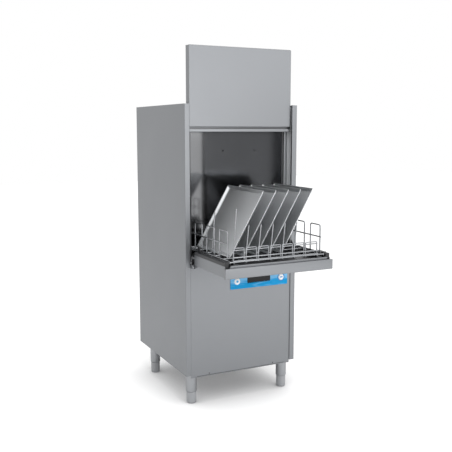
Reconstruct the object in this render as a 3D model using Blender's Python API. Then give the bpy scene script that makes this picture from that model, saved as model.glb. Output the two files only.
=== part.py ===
"""Front-loading utensil and tray washer with a raised upper door and a fold-down lower leaf.

Metres, +Z up, the machine's front faces -Y. The origin is on the floor, under the middle of the
box that holds the machine with its lower leaf folded down. Inside this script every y is measured
back from the front faces of the cabinet's posts, and one empty places that plane.
"""
import math

import bmesh
import bpy
import numpy as np
from mathutils import Matrix, Vector

# Sheet metal and clearances
SHEET = 0.0015
GAP = 0.0003
BEND_RADIUS = 0.003

# Cabinet
CABINET_WIDTH = 0.600
CABINET_DEPTH = 0.652
CABINET_TOP = 1.435
LEG_HEIGHT = 0.150
POST_WIDTH = 0.027
POST_HEM = 0.012
REAR_RETURN = 0.020
ROOF_GUIDE_GAP = 0.003
PAN_FLANGE = 0.025
FLOOR_PAN_FRONT = 0.020
VENT_COUNT = 6
VENT_LENGTH = 0.090
VENT_HEIGHT = 0.006
VENT_PITCH = 0.016
VENT_RISE = 0.068

# Legs and feet
LEG_INSET = 0.047
LEG_FRONT = 0.050
LEG_BACK_INSET = 0.112
LEG_RADIUS = 0.0265
LEG_PLATE_RADIUS = 0.036
LEG_PLATE = 0.003
LEG_TUBE = 0.090
FOOT_RADIUS = 0.0237
FOOT_CHAMFER = 0.004
STEM_RADIUS = 0.018
STEM_LENGTH = 0.045

# Lower front panel and controls
PANEL_RECESS = 0.005
PANEL_DROP = 0.014
PANEL_RETURN = 0.008
PANEL_SIDE_GAP = 0.0005
FASCIA_WIDTH = 0.3195
FASCIA_HEIGHT = 0.082
FASCIA_DROP = 0.0495
FASCIA_SIDE_MARGIN = 0.0165
FASCIA_CORNER = 0.004
DISPLAY_INSET = 0.092
DISPLAY_WIDTH = 0.129
DISPLAY_RISE = 0.027
DISPLAY_HEIGHT = 0.044
BUTTON_RISE = 0.0375
BUTTON_INSET = 0.0365
BUTTON_RADIUS = 0.0125
BUTTON_CAP = 0.0025
BUTTON_CROWN = 0.0008
BUTTON_TRAVEL = 0.002
BUTTON_STOP_GAP = 0.0002
BUTTON_STEM_RADIUS = 0.005
BUTTON_STEM = 0.018
CONTROL_BOX_CLEARANCE = 0.004
CONTROL_BOX_MARGIN = 0.006
CONTROL_BOX_WALL = 0.002

# Wash chamber and tank
CHAMBER_SIDE_SPACE = 0.044
CHAMBER_FRONT = 0.066
CHAMBER_REAR_SPACE = 0.121
CHAMBER_ROOF_SPACE = 0.059
TANK_RIM = 0.681
TANK_DEPTH = 0.160
SUMP_DROP = 0.070
SUMP_SIZE = 0.120
SENSOR_INSET = 0.099
SENSOR_DROP = 0.174
SENSOR_RADIUS = 0.004
STRAINER_DROP = 0.035
STRAINER_SLOT_WIDTH = 0.010
STRAINER_SLOTS = 6
STRAINER_SIDE = 0.040
STRAINER_BORDER = 0.030

# Wash arms, hubs, pump, pipe and boiler
ARM_TIP_CLEARANCE = 0.0375
ARM_HALF_WIDTH = 0.019
ARM_HEIGHT = 0.022
LOWER_ARM_RISE = 0.014
UPPER_ARM_DROP = 0.019
NOZZLE_RADIUS = 0.0045
NOZZLE_HEIGHT = 0.003
NOZZLE_COUNT = 4
NOZZLE_START = 0.0546
NOZZLE_END = 0.0234
HUB_RADIUS = 0.016
HUB_NECK = 0.010
HUB_CAP = 0.008
SPIGOT_LENGTH = 0.012
PIPE_RADIUS = 0.014
PIPE_BEND = 0.022
PIPE_X = 0.045
PIPE_ROOF_DROP = 0.0195
PUMP_OUTLET_DROP = 0.075
PUMP_OUTLET_REACH = 0.110
VOLUTE_RADIUS = 0.066
VOLUTE_HALF_HEIGHT = 0.024
MOTOR_RADIUS = 0.054
MOTOR_FLOOR_GAP = 0.0472
MOTOR_FINS = 4
BOILER_RADIUS = 0.070
BOILER_TOP_GAP = 0.046
BOILER_NECK = 0.018
BOILER_SIDE_SPACE = 0.130
BOILER_REAR_SPACE = 0.232
BOILER_WALL = 0.002

# Upper door, drawn raised
DOOR_FRONT = 0.014
DOOR_THICKNESS = 0.033
DOOR_SIDE_GAP = 0.002
DOOR_RISE = 0.2635
DOOR_FACE_HEIGHT = 0.3685
GRIP_GAP = 0.009
GRIP_HEIGHT = 0.0145
GUIDE_LAP = 0.002
GUIDE_SPARE = 0.003
GUIDE_WALL = 0.002
GUIDE_SEAL_GAP = 0.022
GUIDE_TOP_DROP = 0.010
SHOE_LENGTH = 0.090
SHOE_DROP = 0.010

# Lower leaf, drawn folded down
LEAF_REACH = 0.364
LEAF_BACK = 0.026
LEAF_RISE = 0.011
LEAF_PAN = 0.042
LEAF_SIDE_GAP = 0.0065
HANDLE_DEPTH = 0.017
HANDLE_DROP = 0.003
HANDLE_STEP = 0.005
HANDLE_LEDGE = 0.011
HANDLE_GAP = 0.0005
RAIL_WIDTH = 0.0205
RAIL_HEIGHT = 0.022
RAIL_BLOCK = 0.014
RAIL_BLOCK_RISE = 0.004
RAIL_INSET = 0.002
WEDGE_HEIGHT = 0.024
WEDGE_LENGTH = 0.043
WEDGE_TOP = 0.0143
WEDGE_WIDTH = 0.0045
RUNNER_HEIGHT = 0.0137
RUNNER_WIDTH = 0.024
LINER_THICKNESS = 0.002
HINGE_Y = -0.016
HINGE_RISE = 0.002
HINGE_PIN_RADIUS = 0.004
HINGE_EYE_RADIUS = 0.009
HINGE_PLATE = 0.0045
EAR_WIDTH = 0.008
EAR_REACH = 0.030
SEAL_WIDTH = 0.0042
SEAL_RISE = 0.020
SEAL_LENGTH = 0.310

# Rack and trays
RACK_SIDE_CLEARANCE = 0.014
RACK_FRONT_INSET = 0.023
RACK_DEPTH = 0.450
WIRE_RADIUS = 0.0025
THIN_WIRE_RADIUS = 0.002
WELD_SINK = 0.0015
COMB_COUNT = 8
COMB_MARGIN = 0.0299
COMB_SHIFT = 0.008
COMB_LEAN = 0.0155
COMB_OFFSET = 0.002
COMB_LOOP_GAP = 0.009
COMB_BAR_STEP = 0.009
COMB_BEND = 0.006
COMB_LAYER = 0.0006
CROSS_WIRE_COUNT = 6
COMB_RAIL_STEP = 0.015
COMB_LOW = 0.0559
COMB_HIGH = 0.150
COMB_POST = 0.224
SIDE_POST_INSET = 0.222
SIDE_POST_HEIGHT = 0.202
REAR_COMB_HIGH = 0.066
FENCE_HEIGHT = 0.128
FENCE_RAIL_HEIGHT = 0.071
FENCE_LOOPS = 3
FENCE_LOOP_START = 0.027
FENCE_LOOP_WIDTH = 0.079
FENCE_END_MARGIN = 0.076
FENCE_BEND = 0.010
RACK_RAIL_INSET = 0.026
RACK_RAIL_HEIGHT = 0.027
RACK_RAIL_WIDTH = 0.050
TRAY_COUNT = 5
TRAY_FRONT_INSET = 0.087
TRAY_BACK_INSET = 0.009
TRAY_SLOPE_LENGTH = 0.335
TRAY_LEAN = math.radians(30.0)
TRAY_FIRST_INSET = 0.046
TRAY_LAST_INSET = 0.0097
TRAY_RIM = 0.009
TRAY_WALL_RUN = 0.006
TRAY_DEPTH = 0.010
TRAY_SHEET = 0.001
TRAY_INNER_CORNER = 0.007

# Facets round a turned piece
TURN_STEPS = 20
SMALL_TURN_STEPS = 12
NOZZLE_STEPS = 8

# Cabinet planes
FRONT_Y = (LEAF_REACH - CABINET_DEPTH) / 2
HALF_WIDTH = CABINET_WIDTH / 2
INNER_HALF = HALF_WIDTH - SHEET - GAP
POST_INNER = HALF_WIDTH - POST_WIDTH
REAR_FACE = CABINET_DEPTH - SHEET - GAP
REAR_INNER = REAR_FACE - BEND_RADIUS - GAP
FLOOR_TOP = LEG_HEIGHT + GAP + SHEET
FOOT_TOP = LEG_HEIGHT - LEG_TUBE
LEG_BACK = CABINET_DEPTH - LEG_BACK_INSET
VENT_BOTTOM = LEG_HEIGHT + VENT_RISE

# Chamber planes
CHAMBER_HALF = HALF_WIDTH - CHAMBER_SIDE_SPACE
CHAMBER_BACK = CABINET_DEPTH - CHAMBER_REAR_SPACE
CHAMBER_TOP = CABINET_TOP - CHAMBER_ROOF_SPACE
CHAMBER_MIDDLE = (CHAMBER_FRONT + CHAMBER_BACK) / 2
CHAMBER_FLOOR = TANK_RIM + SHEET + GAP
TANK_WALL_BOTTOM = TANK_RIM - TANK_DEPTH
SUMP_TOP = TANK_WALL_BOTTOM - SUMP_DROP
STRAINER_TOP = TANK_RIM - STRAINER_DROP
STRAINER_SLOT_PITCH = (CHAMBER_HALF - STRAINER_SIDE) / STRAINER_SLOTS
SENSOR_X = CHAMBER_HALF - SENSOR_INSET
SENSOR_Z = CHAMBER_TOP - SENSOR_DROP

# Front panel and fascia planes
PANEL_FRONT = PANEL_RECESS
PANEL_BOTTOM = LEG_HEIGHT - PANEL_DROP
PANEL_HALF = POST_INNER - PANEL_SIDE_GAP
TANK_RIM_WIDTH = PANEL_HALF - CHAMBER_HALF
FASCIA_THICKNESS = BUTTON_TRAVEL + BUTTON_STOP_GAP
FASCIA_BACK = PANEL_FRONT - GAP
FASCIA_FRONT = FASCIA_BACK - FASCIA_THICKNESS
FASCIA_RIGHT = PANEL_HALF - FASCIA_SIDE_MARGIN
FASCIA_LEFT = FASCIA_RIGHT - FASCIA_WIDTH
FASCIA_TOP = TANK_RIM - FASCIA_DROP
FASCIA_BOTTOM = FASCIA_TOP - FASCIA_HEIGHT
DISPLAY_LEFT = FASCIA_LEFT + DISPLAY_INSET
DISPLAY_RIGHT = DISPLAY_LEFT + DISPLAY_WIDTH
DISPLAY_BOTTOM = FASCIA_BOTTOM + DISPLAY_RISE
DISPLAY_TOP = DISPLAY_BOTTOM + DISPLAY_HEIGHT
BUTTON_HEIGHT = FASCIA_BOTTOM + BUTTON_RISE
START_BUTTON_X = FASCIA_LEFT + BUTTON_INSET
PROGRAM_BUTTON_X = FASCIA_RIGHT - BUTTON_INSET

# Places of the wash system
ARM_RADIUS = min(CHAMBER_HALF, CHAMBER_BACK - CHAMBER_MIDDLE) - ARM_TIP_CLEARANCE
LOWER_ARM_BOTTOM = TANK_RIM + LOWER_ARM_RISE
UPPER_ARM_TOP = CHAMBER_TOP - UPPER_ARM_DROP
NOZZLE_PITCH = (ARM_RADIUS - NOZZLE_START - NOZZLE_END) / (NOZZLE_COUNT - 1)
PIPE_Y = (CHAMBER_BACK + CABINET_DEPTH) / 2
PIPE_TOP = CABINET_TOP - PIPE_ROOF_DROP
PUMP_OUTLET_Z = SUMP_TOP - PUMP_OUTLET_DROP
BOILER_X = BOILER_SIDE_SPACE - HALF_WIDTH
BOILER_Y = CABINET_DEPTH - BOILER_REAR_SPACE
BOILER_TOP = SUMP_TOP - BOILER_TOP_GAP

# Door and leaf planes
DOOR_HALF = POST_INNER - DOOR_SIDE_GAP
DOOR_BACK = DOOR_FRONT + DOOR_THICKNESS
DOOR_TOP = CABINET_TOP + DOOR_RISE
DOOR_FACE_BOTTOM = DOOR_TOP - DOOR_FACE_HEIGHT
GRIP_TOP = DOOR_FACE_BOTTOM - GRIP_GAP
GRIP_BOTTOM = GRIP_TOP - GRIP_HEIGHT
GUIDE_FRONT = DOOR_FRONT + GUIDE_LAP
GUIDE_BACK = DOOR_BACK + GUIDE_SPARE
ROOF_FRONT = GUIDE_BACK + ROOF_GUIDE_GAP
SEAL_BOTTOM = TANK_RIM + SEAL_RISE
SEAL_TOP = SEAL_BOTTOM + SEAL_LENGTH
GUIDE_BOTTOM = SEAL_TOP + GUIDE_SEAL_GAP
HINGE_Z = TANK_RIM + HINGE_RISE
LEAF_BOTTOM = TANK_RIM + LEAF_RISE
LEAF_TOP = LEAF_BOTTOM + LEAF_PAN
LEAF_HALF_WIDTH = POST_INNER - LEAF_SIDE_GAP
LEAF_FRONT = -LEAF_REACH + HANDLE_DEPTH + GAP
LINER_BOTTOM = LEAF_TOP + GAP
RUNNER_TOP = LINER_BOTTOM + RUNNER_HEIGHT

# Rack and tray planes
RACK_HALF = CHAMBER_HALF - RACK_SIDE_CLEARANCE
RACK_FRONT = RACK_FRONT_INSET - LEAF_REACH
RACK_BACK = RACK_FRONT + RACK_DEPTH
RACK_RAIL_FRONT = CHAMBER_FRONT + RACK_RAIL_INSET
COMB_PITCH = 2 * (RACK_HALF - COMB_MARGIN) / (COMB_COUNT - 1)
FENCE_SPREAD = RACK_DEPTH - FENCE_LOOP_START - FENCE_LOOP_WIDTH - FENCE_END_MARGIN
FENCE_LOOP_PITCH = FENCE_SPREAD / (FENCE_LOOPS - 1)
LONG_WIRE_Z = RUNNER_TOP + GAP + WIRE_RADIUS
CROSS_WIRE_Z = LONG_WIRE_Z + 2 * WIRE_RADIUS - WELD_SINK
RACK_FLOOR_TOP = CROSS_WIRE_Z + WIRE_RADIUS
UPRIGHT_BASE = RACK_FLOOR_TOP + GAP + WIRE_RADIUS
TRAY_WIRE_Z = LONG_WIRE_Z + 2 * WIRE_RADIUS + GAP
TRAY_FRONT = RACK_FRONT + TRAY_FRONT_INSET
TRAY_LENGTH = RACK_DEPTH - TRAY_FRONT_INSET - TRAY_BACK_INSET
TRAY_FIRST_X = TRAY_FIRST_INSET - RACK_HALF
TRAY_SPREAD = 2 * RACK_HALF - TRAY_FIRST_INSET - TRAY_LAST_INSET - TRAY_SLOPE_LENGTH * math.sin(TRAY_LEAN)
TRAY_PITCH = TRAY_SPREAD / (TRAY_COUNT - 1)
TRAY_CORNER = TRAY_RIM + TRAY_WALL_RUN + TRAY_INNER_CORNER


def clear_scene():
    for old in list(bpy.data.objects):
        bpy.data.objects.remove(old, do_unlink=True)


def make_material(name, colour, roughness, metallic):
    made = bpy.data.materials.new(name)
    made.use_nodes = True
    shader = made.node_tree.nodes["Principled BSDF"]
    shader.inputs["Base Color"].default_value = (*colour, 1.0)
    shader.inputs["Roughness"].default_value = roughness
    shader.inputs["Metallic"].default_value = metallic
    made.diffuse_color = (*colour, 1.0)
    return made


def make_materials():
    return {
        "steel": make_material("brushed_steel", (0.42, 0.43, 0.44), 0.38, 1.0),
        "chamber": make_material("polished_chamber_steel", (0.24, 0.24, 0.25), 0.25, 1.0),
        "tray": make_material("polished_tray_steel", (0.55, 0.56, 0.57), 0.18, 1.0),
        "wire": make_material("bright_wire", (0.60, 0.60, 0.60), 0.25, 1.0),
        "black": make_material("black_plastic", (0.02, 0.02, 0.022), 0.5, 0.0),
        "rubber": make_material("black_rubber", (0.015, 0.015, 0.016), 0.7, 0.0),
        "blue": make_material("blue_fascia_film", (0.06, 0.40, 0.75), 0.35, 0.0),
        "display": make_material("dark_display_window", (0.02, 0.022, 0.025), 0.1, 0.0),
        "button": make_material("white_button_plastic", (0.85, 0.87, 0.9), 0.35, 0.0),
        "pipe": make_material("grey_pipe_plastic", (0.30, 0.31, 0.32), 0.5, 0.0),
        "cast": make_material("cast_aluminium", (0.45, 0.46, 0.47), 0.5, 1.0),
    }


def make_object(name, mesh_data, material, pivot=(0.0, 0.0, 0.0)):
    """Turn a bmesh into a named object under the datum, with its origin at the pivot."""
    mesh_data.normal_update()
    bmesh.ops.recalc_face_normals(mesh_data, faces=mesh_data.faces[:])
    bmesh.ops.translate(mesh_data, verts=mesh_data.verts[:], vec=-Vector(pivot))
    mesh = bpy.data.meshes.new(name)
    mesh_data.to_mesh(mesh)
    mesh_data.free()
    made = bpy.data.objects.new(name, mesh)
    bpy.context.scene.collection.objects.link(made)
    made.parent = DATUM
    made.location = pivot
    if material is not None:
        mesh.materials.append(material)
    return made


def shade_round(made):
    made.data.shade_smooth()
    made.data.set_sharp_from_angle(angle=math.radians(35.0))


def as_guide(made):
    """A helper shape that cuts or joins another piece and is not a piece itself."""
    made.hide_render = True
    made.display_type = 'WIRE'
    return made


def combine(target, helper, operation):
    step = target.modifiers.new(helper.name, 'BOOLEAN')
    step.operation = operation
    step.object = as_guide(helper)
    step.solver = 'EXACT'


def round_corners(points, radius, steps=3):
    """Replace each inner corner of an open path with an arc."""
    points = [np.array(point, float) for point in points]
    path = [points[0]]
    for before, corner, after in zip(points, points[1:], points[2:]):
        back = (before - corner) / np.linalg.norm(before - corner)
        ahead = (after - corner) / np.linalg.norm(after - corner)
        half = math.acos(np.clip(back @ ahead, -1.0, 1.0)) / 2
        middle = (back + ahead) / np.linalg.norm(back + ahead)
        centre = corner + middle * radius / math.sin(half)
        start = corner + back * radius / math.tan(half) - centre
        end = corner + ahead * radius / math.tan(half) - centre
        sweep = math.pi - 2 * half
        for share in np.linspace(0.0, 1.0, steps + 1):
            blend = math.sin((1 - share) * sweep) * start + math.sin(share * sweep) * end
            path.append(centre + blend / math.sin(sweep))
    path.append(points[-1])
    return path


def sheet_outline(points, thickness, radius=BEND_RADIUS):
    """Outline of folded sheet whose outer face follows the path, with the sheet on its left."""
    path = np.array(round_corners(points, radius))
    along = np.diff(path, axis=0)
    along /= np.linalg.norm(along, axis=1)[:, None]
    normals = np.stack([-along[:, 1], along[:, 0]], axis=1)
    before = np.vstack([normals[:1], normals])
    after = np.vstack([normals, normals[-1:]])
    middle = before + after
    scale = thickness / (1.0 + np.sum(before * after, axis=1))
    inner = path + middle * scale[:, None]
    return np.vstack([path, inner[::-1]])


def rounded_rectangle(low, high, radius, steps=3):
    """Outline of a rectangle between two corner points, with its corners rounded."""
    outline = []
    corners = ((high[0], high[1], 0), (low[0], high[1], 1), (low[0], low[1], 2), (high[0], low[1], 3))
    for x, y, quarter in corners:
        centre = (x - math.copysign(radius, x - (low[0] + high[0]) / 2),
                  y - math.copysign(radius, y - (low[1] + high[1]) / 2))
        for angle in np.linspace(quarter, quarter + 1, steps + 1) * math.pi / 2:
            outline.append((centre[0] + radius * math.cos(angle), centre[1] + radius * math.sin(angle)))
    return outline


def extrude(outline, axis, low, high):
    """Solid with a flat outline in the two other axes, drawn out along one axis."""
    across = {"X": "YZX", "Y": "XZY", "Z": "XYZ"}[axis]
    first, second, along = ("XYZ".index(letter) for letter in across)
    mesh_data = bmesh.new()
    corners = []
    for point in outline:
        place = [0.0, 0.0, 0.0]
        place[first] = point[0]
        place[second] = point[1]
        place[along] = low
        corners.append(mesh_data.verts.new(place))
    face = mesh_data.faces.new(corners)
    grown = bmesh.ops.extrude_face_region(mesh_data, geom=[face])
    moved = [item for item in grown["geom"] if isinstance(item, bmesh.types.BMVert)]
    shift = [0.0, 0.0, 0.0]
    shift[along] = high - low
    bmesh.ops.translate(mesh_data, verts=moved, vec=shift)
    return mesh_data


def block(low, high):
    outline = ((low[0], low[1]), (high[0], low[1]), (high[0], high[1]), (low[0], high[1]))
    return extrude(outline, "Z", low[2], high[2])


def turn(profile, steps=TURN_STEPS):
    """Solid turned about Z from a closed run of (radius, height) points."""
    mesh_data = bmesh.new()
    points = [mesh_data.verts.new((radius, 0.0, height)) for radius, height in profile]
    edges = [mesh_data.edges.new(pair) for pair in zip(points, points[1:])]
    if profile[0][0] > 0.0:
        edges.append(mesh_data.edges.new((points[-1], points[0])))
    bmesh.ops.spin(mesh_data, geom=points + edges, cent=(0, 0, 0), axis=(0, 0, 1),
                   angle=math.tau, steps=steps, use_merge=True)
    bmesh.ops.remove_doubles(mesh_data, verts=mesh_data.verts[:], dist=1e-6)
    return mesh_data


def cylinder(radius, start, end, steps=SMALL_TURN_STEPS):
    """Round bar between two points."""
    start = Vector(start)
    reach = Vector(end) - start
    mesh_data = turn(((0.0, 0.0), (radius, 0.0), (radius, reach.length), (0.0, reach.length)), steps)
    facing = reach.to_track_quat('Z', 'Y').to_matrix().to_4x4()
    mesh_data.transform(Matrix.Translation(start) @ facing)
    return mesh_data


def merge(pieces):
    """Gather loose shapes that do not touch into one bmesh."""
    gathered = bmesh.new()
    for piece in pieces:
        carrier = bpy.data.meshes.new("carrier")
        piece.to_mesh(carrier)
        piece.free()
        gathered.from_mesh(carrier)
        bpy.data.meshes.remove(carrier)
    return gathered


def open_box(low, high, open_face, sheet, name, material, pivot=(0.0, 0.0, 0.0), bevel=0.0):
    """Folded pan: a box with one face left off, its sheet lying inside the given size."""
    mesh_data = block(low, high)
    mesh_data.normal_update()
    away = Vector(open_face)
    bmesh.ops.recalc_face_normals(mesh_data, faces=mesh_data.faces[:])
    lids = [face for face in mesh_data.faces if face.normal.dot(away) > 0.9]
    bmesh.ops.delete(mesh_data, geom=lids, context='FACES_ONLY')
    made = make_object(name, mesh_data, material, pivot)
    if bevel > 0.0:
        fold = made.modifiers.new("folds", 'BEVEL')
        fold.width = bevel
        fold.segments = 2
        fold.limit_method = 'ANGLE'
    skin = made.modifiers.new("sheet", 'SOLIDIFY')
    skin.thickness = sheet
    skin.offset = -1.0
    skin.use_even_offset = True
    return made


def wire_mesh(paths, radius):
    """Round wires along open paths, six sided, as one bmesh of separate bars."""
    curve = bpy.data.curves.new("wire", 'CURVE')
    curve.dimensions = '3D'
    curve.bevel_depth = radius
    curve.bevel_resolution = 1
    curve.use_fill_caps = True
    for path in paths:
        spline = curve.splines.new('POLY')
        spline.points.add(len(path) - 1)
        for point, place in zip(spline.points, path):
            point.co = (*place, 1.0)
    carrier = bpy.data.objects.new("wire", curve)
    mesh = bpy.data.meshes.new_from_object(carrier)
    mesh_data = bmesh.new()
    mesh_data.from_mesh(mesh)
    bmesh.ops.remove_doubles(mesh_data, verts=mesh_data.verts[:], dist=1e-6)
    bpy.data.objects.remove(carrier)
    bpy.data.meshes.remove(mesh)
    bpy.data.curves.remove(curve)
    return mesh_data


def flip_sides(outline, side):
    return [(side * x, y) for x, y in outline]


def side_name(side):
    return "left" if side < 0 else "right"


def add_cabinet(materials):
    steel = materials["steel"]
    for side in (-1, 1):
        path = ((POST_INNER, POST_HEM), (POST_INNER, 0.0), (HALF_WIDTH, 0.0),
                (HALF_WIDTH, REAR_FACE), (HALF_WIDTH - REAR_RETURN, REAR_FACE))
        outline = flip_sides(sheet_outline(path, SHEET), side)
        panel = extrude(outline, "Z", LEG_HEIGHT, CABINET_TOP)
        make_object(f"{side_name(side)}_side_panel", panel, steel)
    add_back_panel(steel)
    open_box((-INNER_HALF, ROOF_FRONT, CABINET_TOP - PAN_FLANGE), (INNER_HALF, REAR_INNER, CABINET_TOP),
             (0, 0, -1), SHEET, "roof_panel", steel)
    open_box((-INNER_HALF, FLOOR_PAN_FRONT, LEG_HEIGHT + GAP),
             (INNER_HALF, REAR_INNER, LEG_HEIGHT + GAP + PAN_FLANGE),
             (0, 0, 1), SHEET, "floor_pan", steel)
    add_legs(steel, materials["pipe"])


def add_back_panel(steel):
    half = HALF_WIDTH - BEND_RADIUS
    outline = rounded_rectangle((-half, LEG_HEIGHT), (half, CABINET_TOP), BEND_RADIUS)
    panel = make_object("back_panel", extrude(outline, "Y", CABINET_DEPTH - SHEET, CABINET_DEPTH), steel)
    slots = []
    for row in range(VENT_COUNT):
        for side in (-1, 1):
            low = VENT_BOTTOM + row * VENT_PITCH
            middle = side * VENT_LENGTH
            slot = rounded_rectangle((middle - VENT_LENGTH / 2, low),
                                     (middle + VENT_LENGTH / 2, low + VENT_HEIGHT),
                                     VENT_HEIGHT / 2 - GAP, 2)
            slots.append(extrude(slot, "Y", CABINET_DEPTH - 3 * SHEET, CABINET_DEPTH + SHEET))
    combine(panel, make_object("vent_slots", merge(slots), None), 'DIFFERENCE')


def add_legs(steel, grey):
    bore = STEM_RADIUS + GAP
    stem_top = FOOT_TOP + STEM_LENGTH
    leg_profile = ((LEG_RADIUS, FOOT_TOP), (bore, FOOT_TOP), (bore, stem_top + GAP),
                   (0.0, stem_top + GAP), (0.0, LEG_HEIGHT), (LEG_PLATE_RADIUS, LEG_HEIGHT),
                   (LEG_PLATE_RADIUS, LEG_HEIGHT - LEG_PLATE), (LEG_RADIUS, LEG_HEIGHT - LEG_PLATE))
    foot_profile = ((0.0, 0.0), (FOOT_RADIUS - FOOT_CHAMFER, 0.0), (FOOT_RADIUS, FOOT_CHAMFER),
                    (FOOT_RADIUS, FOOT_TOP - GAP), (STEM_RADIUS, FOOT_TOP - GAP),
                    (STEM_RADIUS, stem_top), (0.0, stem_top))
    for side in (-1, 1):
        for end, place in (("front", LEG_FRONT), ("back", LEG_BACK)):
            spot = Vector((side * (HALF_WIDTH - LEG_INSET), place, 0.0))
            for kind, profile, material in (("leg", leg_profile, steel), ("foot", foot_profile, grey)):
                solid = turn_closed(profile)
                solid.transform(Matrix.Translation(spot))
                made = make_object(f"{end}_{side_name(side)}_{kind}", solid, material, spot)
                shade_round(made)


def turn_closed(profile, steps=TURN_STEPS):
    """Turn a profile that may touch the axis anywhere along its run."""
    start = next(index for index, point in enumerate(profile) if point[0] == 0.0)
    shifted = profile[start:] + profile[:start]
    ends_on_axis = shifted[-1][0] == 0.0
    return turn(shifted if ends_on_axis else shifted[1:] + shifted[:1], steps)


def add_front_panel(materials):
    steel = materials["steel"]
    path = ((CHAMBER_FRONT - GAP, TANK_RIM), (PANEL_FRONT, TANK_RIM), (PANEL_FRONT, PANEL_BOTTOM),
            (PANEL_FRONT + PANEL_RETURN, PANEL_BOTTOM))
    panel = extrude(sheet_outline(path, SHEET), "X", -PANEL_HALF, PANEL_HALF)
    panel = make_object("lower_front_panel", panel, steel)
    add_controls(materials, panel)


def add_controls(materials, panel):
    """Blue fascia with its display, the two buttons, and the box behind them."""
    outline = rounded_rectangle((FASCIA_LEFT, FASCIA_BOTTOM), (FASCIA_RIGHT, FASCIA_TOP), FASCIA_CORNER)
    fascia = make_object("control_fascia", extrude(outline, "Y", FASCIA_FRONT, FASCIA_BACK),
                         materials["blue"])
    window = rounded_rectangle((DISPLAY_LEFT, DISPLAY_BOTTOM), (DISPLAY_RIGHT, DISPLAY_TOP),
                               FASCIA_CORNER)
    recess = rounded_rectangle((DISPLAY_LEFT - GAP, DISPLAY_BOTTOM - GAP),
                               (DISPLAY_RIGHT + GAP, DISPLAY_TOP + GAP), FASCIA_CORNER)
    make_object("display_window", extrude(window, "Y", FASCIA_FRONT, FASCIA_BACK), materials["display"])
    openings = [extrude(recess, "Y", FASCIA_FRONT - SHEET, FASCIA_BACK + SHEET)]
    stem_holes = []
    for name, place in (("start_button", START_BUTTON_X), ("program_button", PROGRAM_BUTTON_X)):
        axis = Vector((place, 0.0, BUTTON_HEIGHT))
        add_button(name, axis, materials["button"])
        openings.append(bar_along_y(axis, BUTTON_RADIUS + 2 * GAP, FASCIA_FRONT - SHEET,
                                    FASCIA_BACK + SHEET))
        stem_holes.append(bar_along_y(axis, BUTTON_STEM_RADIUS + GAP, PANEL_FRONT - SHEET,
                                      PANEL_FRONT + 2 * SHEET))
    combine(fascia, make_object("fascia_openings", merge(openings), None), 'DIFFERENCE')
    combine(panel, make_object("stem_holes", merge(stem_holes), None), 'DIFFERENCE')
    front = PANEL_FRONT + SHEET + GAP
    open_box((FASCIA_LEFT + CONTROL_BOX_MARGIN, front, FASCIA_BOTTOM + CONTROL_BOX_MARGIN),
             (FASCIA_RIGHT - CONTROL_BOX_MARGIN, CHAMBER_FRONT - CONTROL_BOX_CLEARANCE,
              FASCIA_TOP - CONTROL_BOX_MARGIN),
             (0, -1, 0), CONTROL_BOX_WALL, "control_box", materials["black"])


def bar_along_y(axis, radius, start, end):
    return cylinder(radius, (axis.x, start, axis.z), (axis.x, end, axis.z), TURN_STEPS)


def add_button(name, axis, material):
    """Flat round cap that stands proud of the fascia, on a stem through the panel."""
    cap_back = BUTTON_CAP
    profile = ((0.0, 0.0), (BUTTON_RADIUS - BUTTON_CROWN, 0.0), (BUTTON_RADIUS, BUTTON_CROWN),
               (BUTTON_RADIUS, cap_back),
               (BUTTON_STEM_RADIUS, cap_back), (BUTTON_STEM_RADIUS, cap_back + BUTTON_STEM),
               (0.0, cap_back + BUTTON_STEM))
    solid = turn(profile)
    place = Vector((axis.x, FASCIA_FRONT - BUTTON_CAP, axis.z))
    solid.transform(Matrix.Translation(place) @ Matrix.Rotation(-math.pi / 2, 4, 'X'))
    shade_round(make_object(name, solid, material, place))


def add_chamber(materials):
    bright = materials["chamber"]
    for side in (-1, 1):
        name = side_name(side)
        path = ((CHAMBER_HALF, CHAMBER_BACK), (CHAMBER_HALF, CHAMBER_FRONT),
                (POST_INNER + GAP, CHAMBER_FRONT))
        outline = flip_sides(sheet_outline(path, SHEET), side)
        wall = extrude(outline, "Z", CHAMBER_FLOOR, CHAMBER_TOP - GAP)
        make_object(f"chamber_{name}_wall", wall, bright)
        seat = CHAMBER_HALF - GAP
        fold = ((seat, RUNNER_TOP - RACK_RAIL_HEIGHT), (seat, RUNNER_TOP),
                (seat - RACK_RAIL_WIDTH, RUNNER_TOP))
        outline = flip_sides(sheet_outline(fold, SHEET), side)
        rail = extrude(outline, "Y", RACK_RAIL_FRONT, CHAMBER_BACK - GAP)
        make_object(f"{name}_rack_rail", rail, bright)
    outer = CHAMBER_HALF + SHEET
    rear = CHAMBER_BACK + GAP + SHEET
    sheet = block((-outer, CHAMBER_BACK + GAP, CHAMBER_FLOOR), (outer, rear, CHAMBER_TOP - GAP))
    back = make_object("chamber_back_wall", sheet, bright)
    port = bar_along_y(Vector((SENSOR_X, 0.0, SENSOR_Z)), SENSOR_RADIUS, CHAMBER_BACK, rear + SHEET)
    combine(back, make_object("sensor_port", port, None), 'DIFFERENCE')
    lid = block((-outer, CHAMBER_FRONT, CHAMBER_TOP), (outer, rear, CHAMBER_TOP + SHEET))
    roof = make_object("chamber_roof", lid, bright)
    hole = cylinder(HUB_RADIUS + GAP, (0, CHAMBER_MIDDLE, CHAMBER_TOP - SHEET),
                    (0, CHAMBER_MIDDLE, CHAMBER_TOP + 2 * SHEET), TURN_STEPS)
    combine(roof, make_object("spigot_hole", hole, None), 'DIFFERENCE')
    add_tank(bright)


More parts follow.
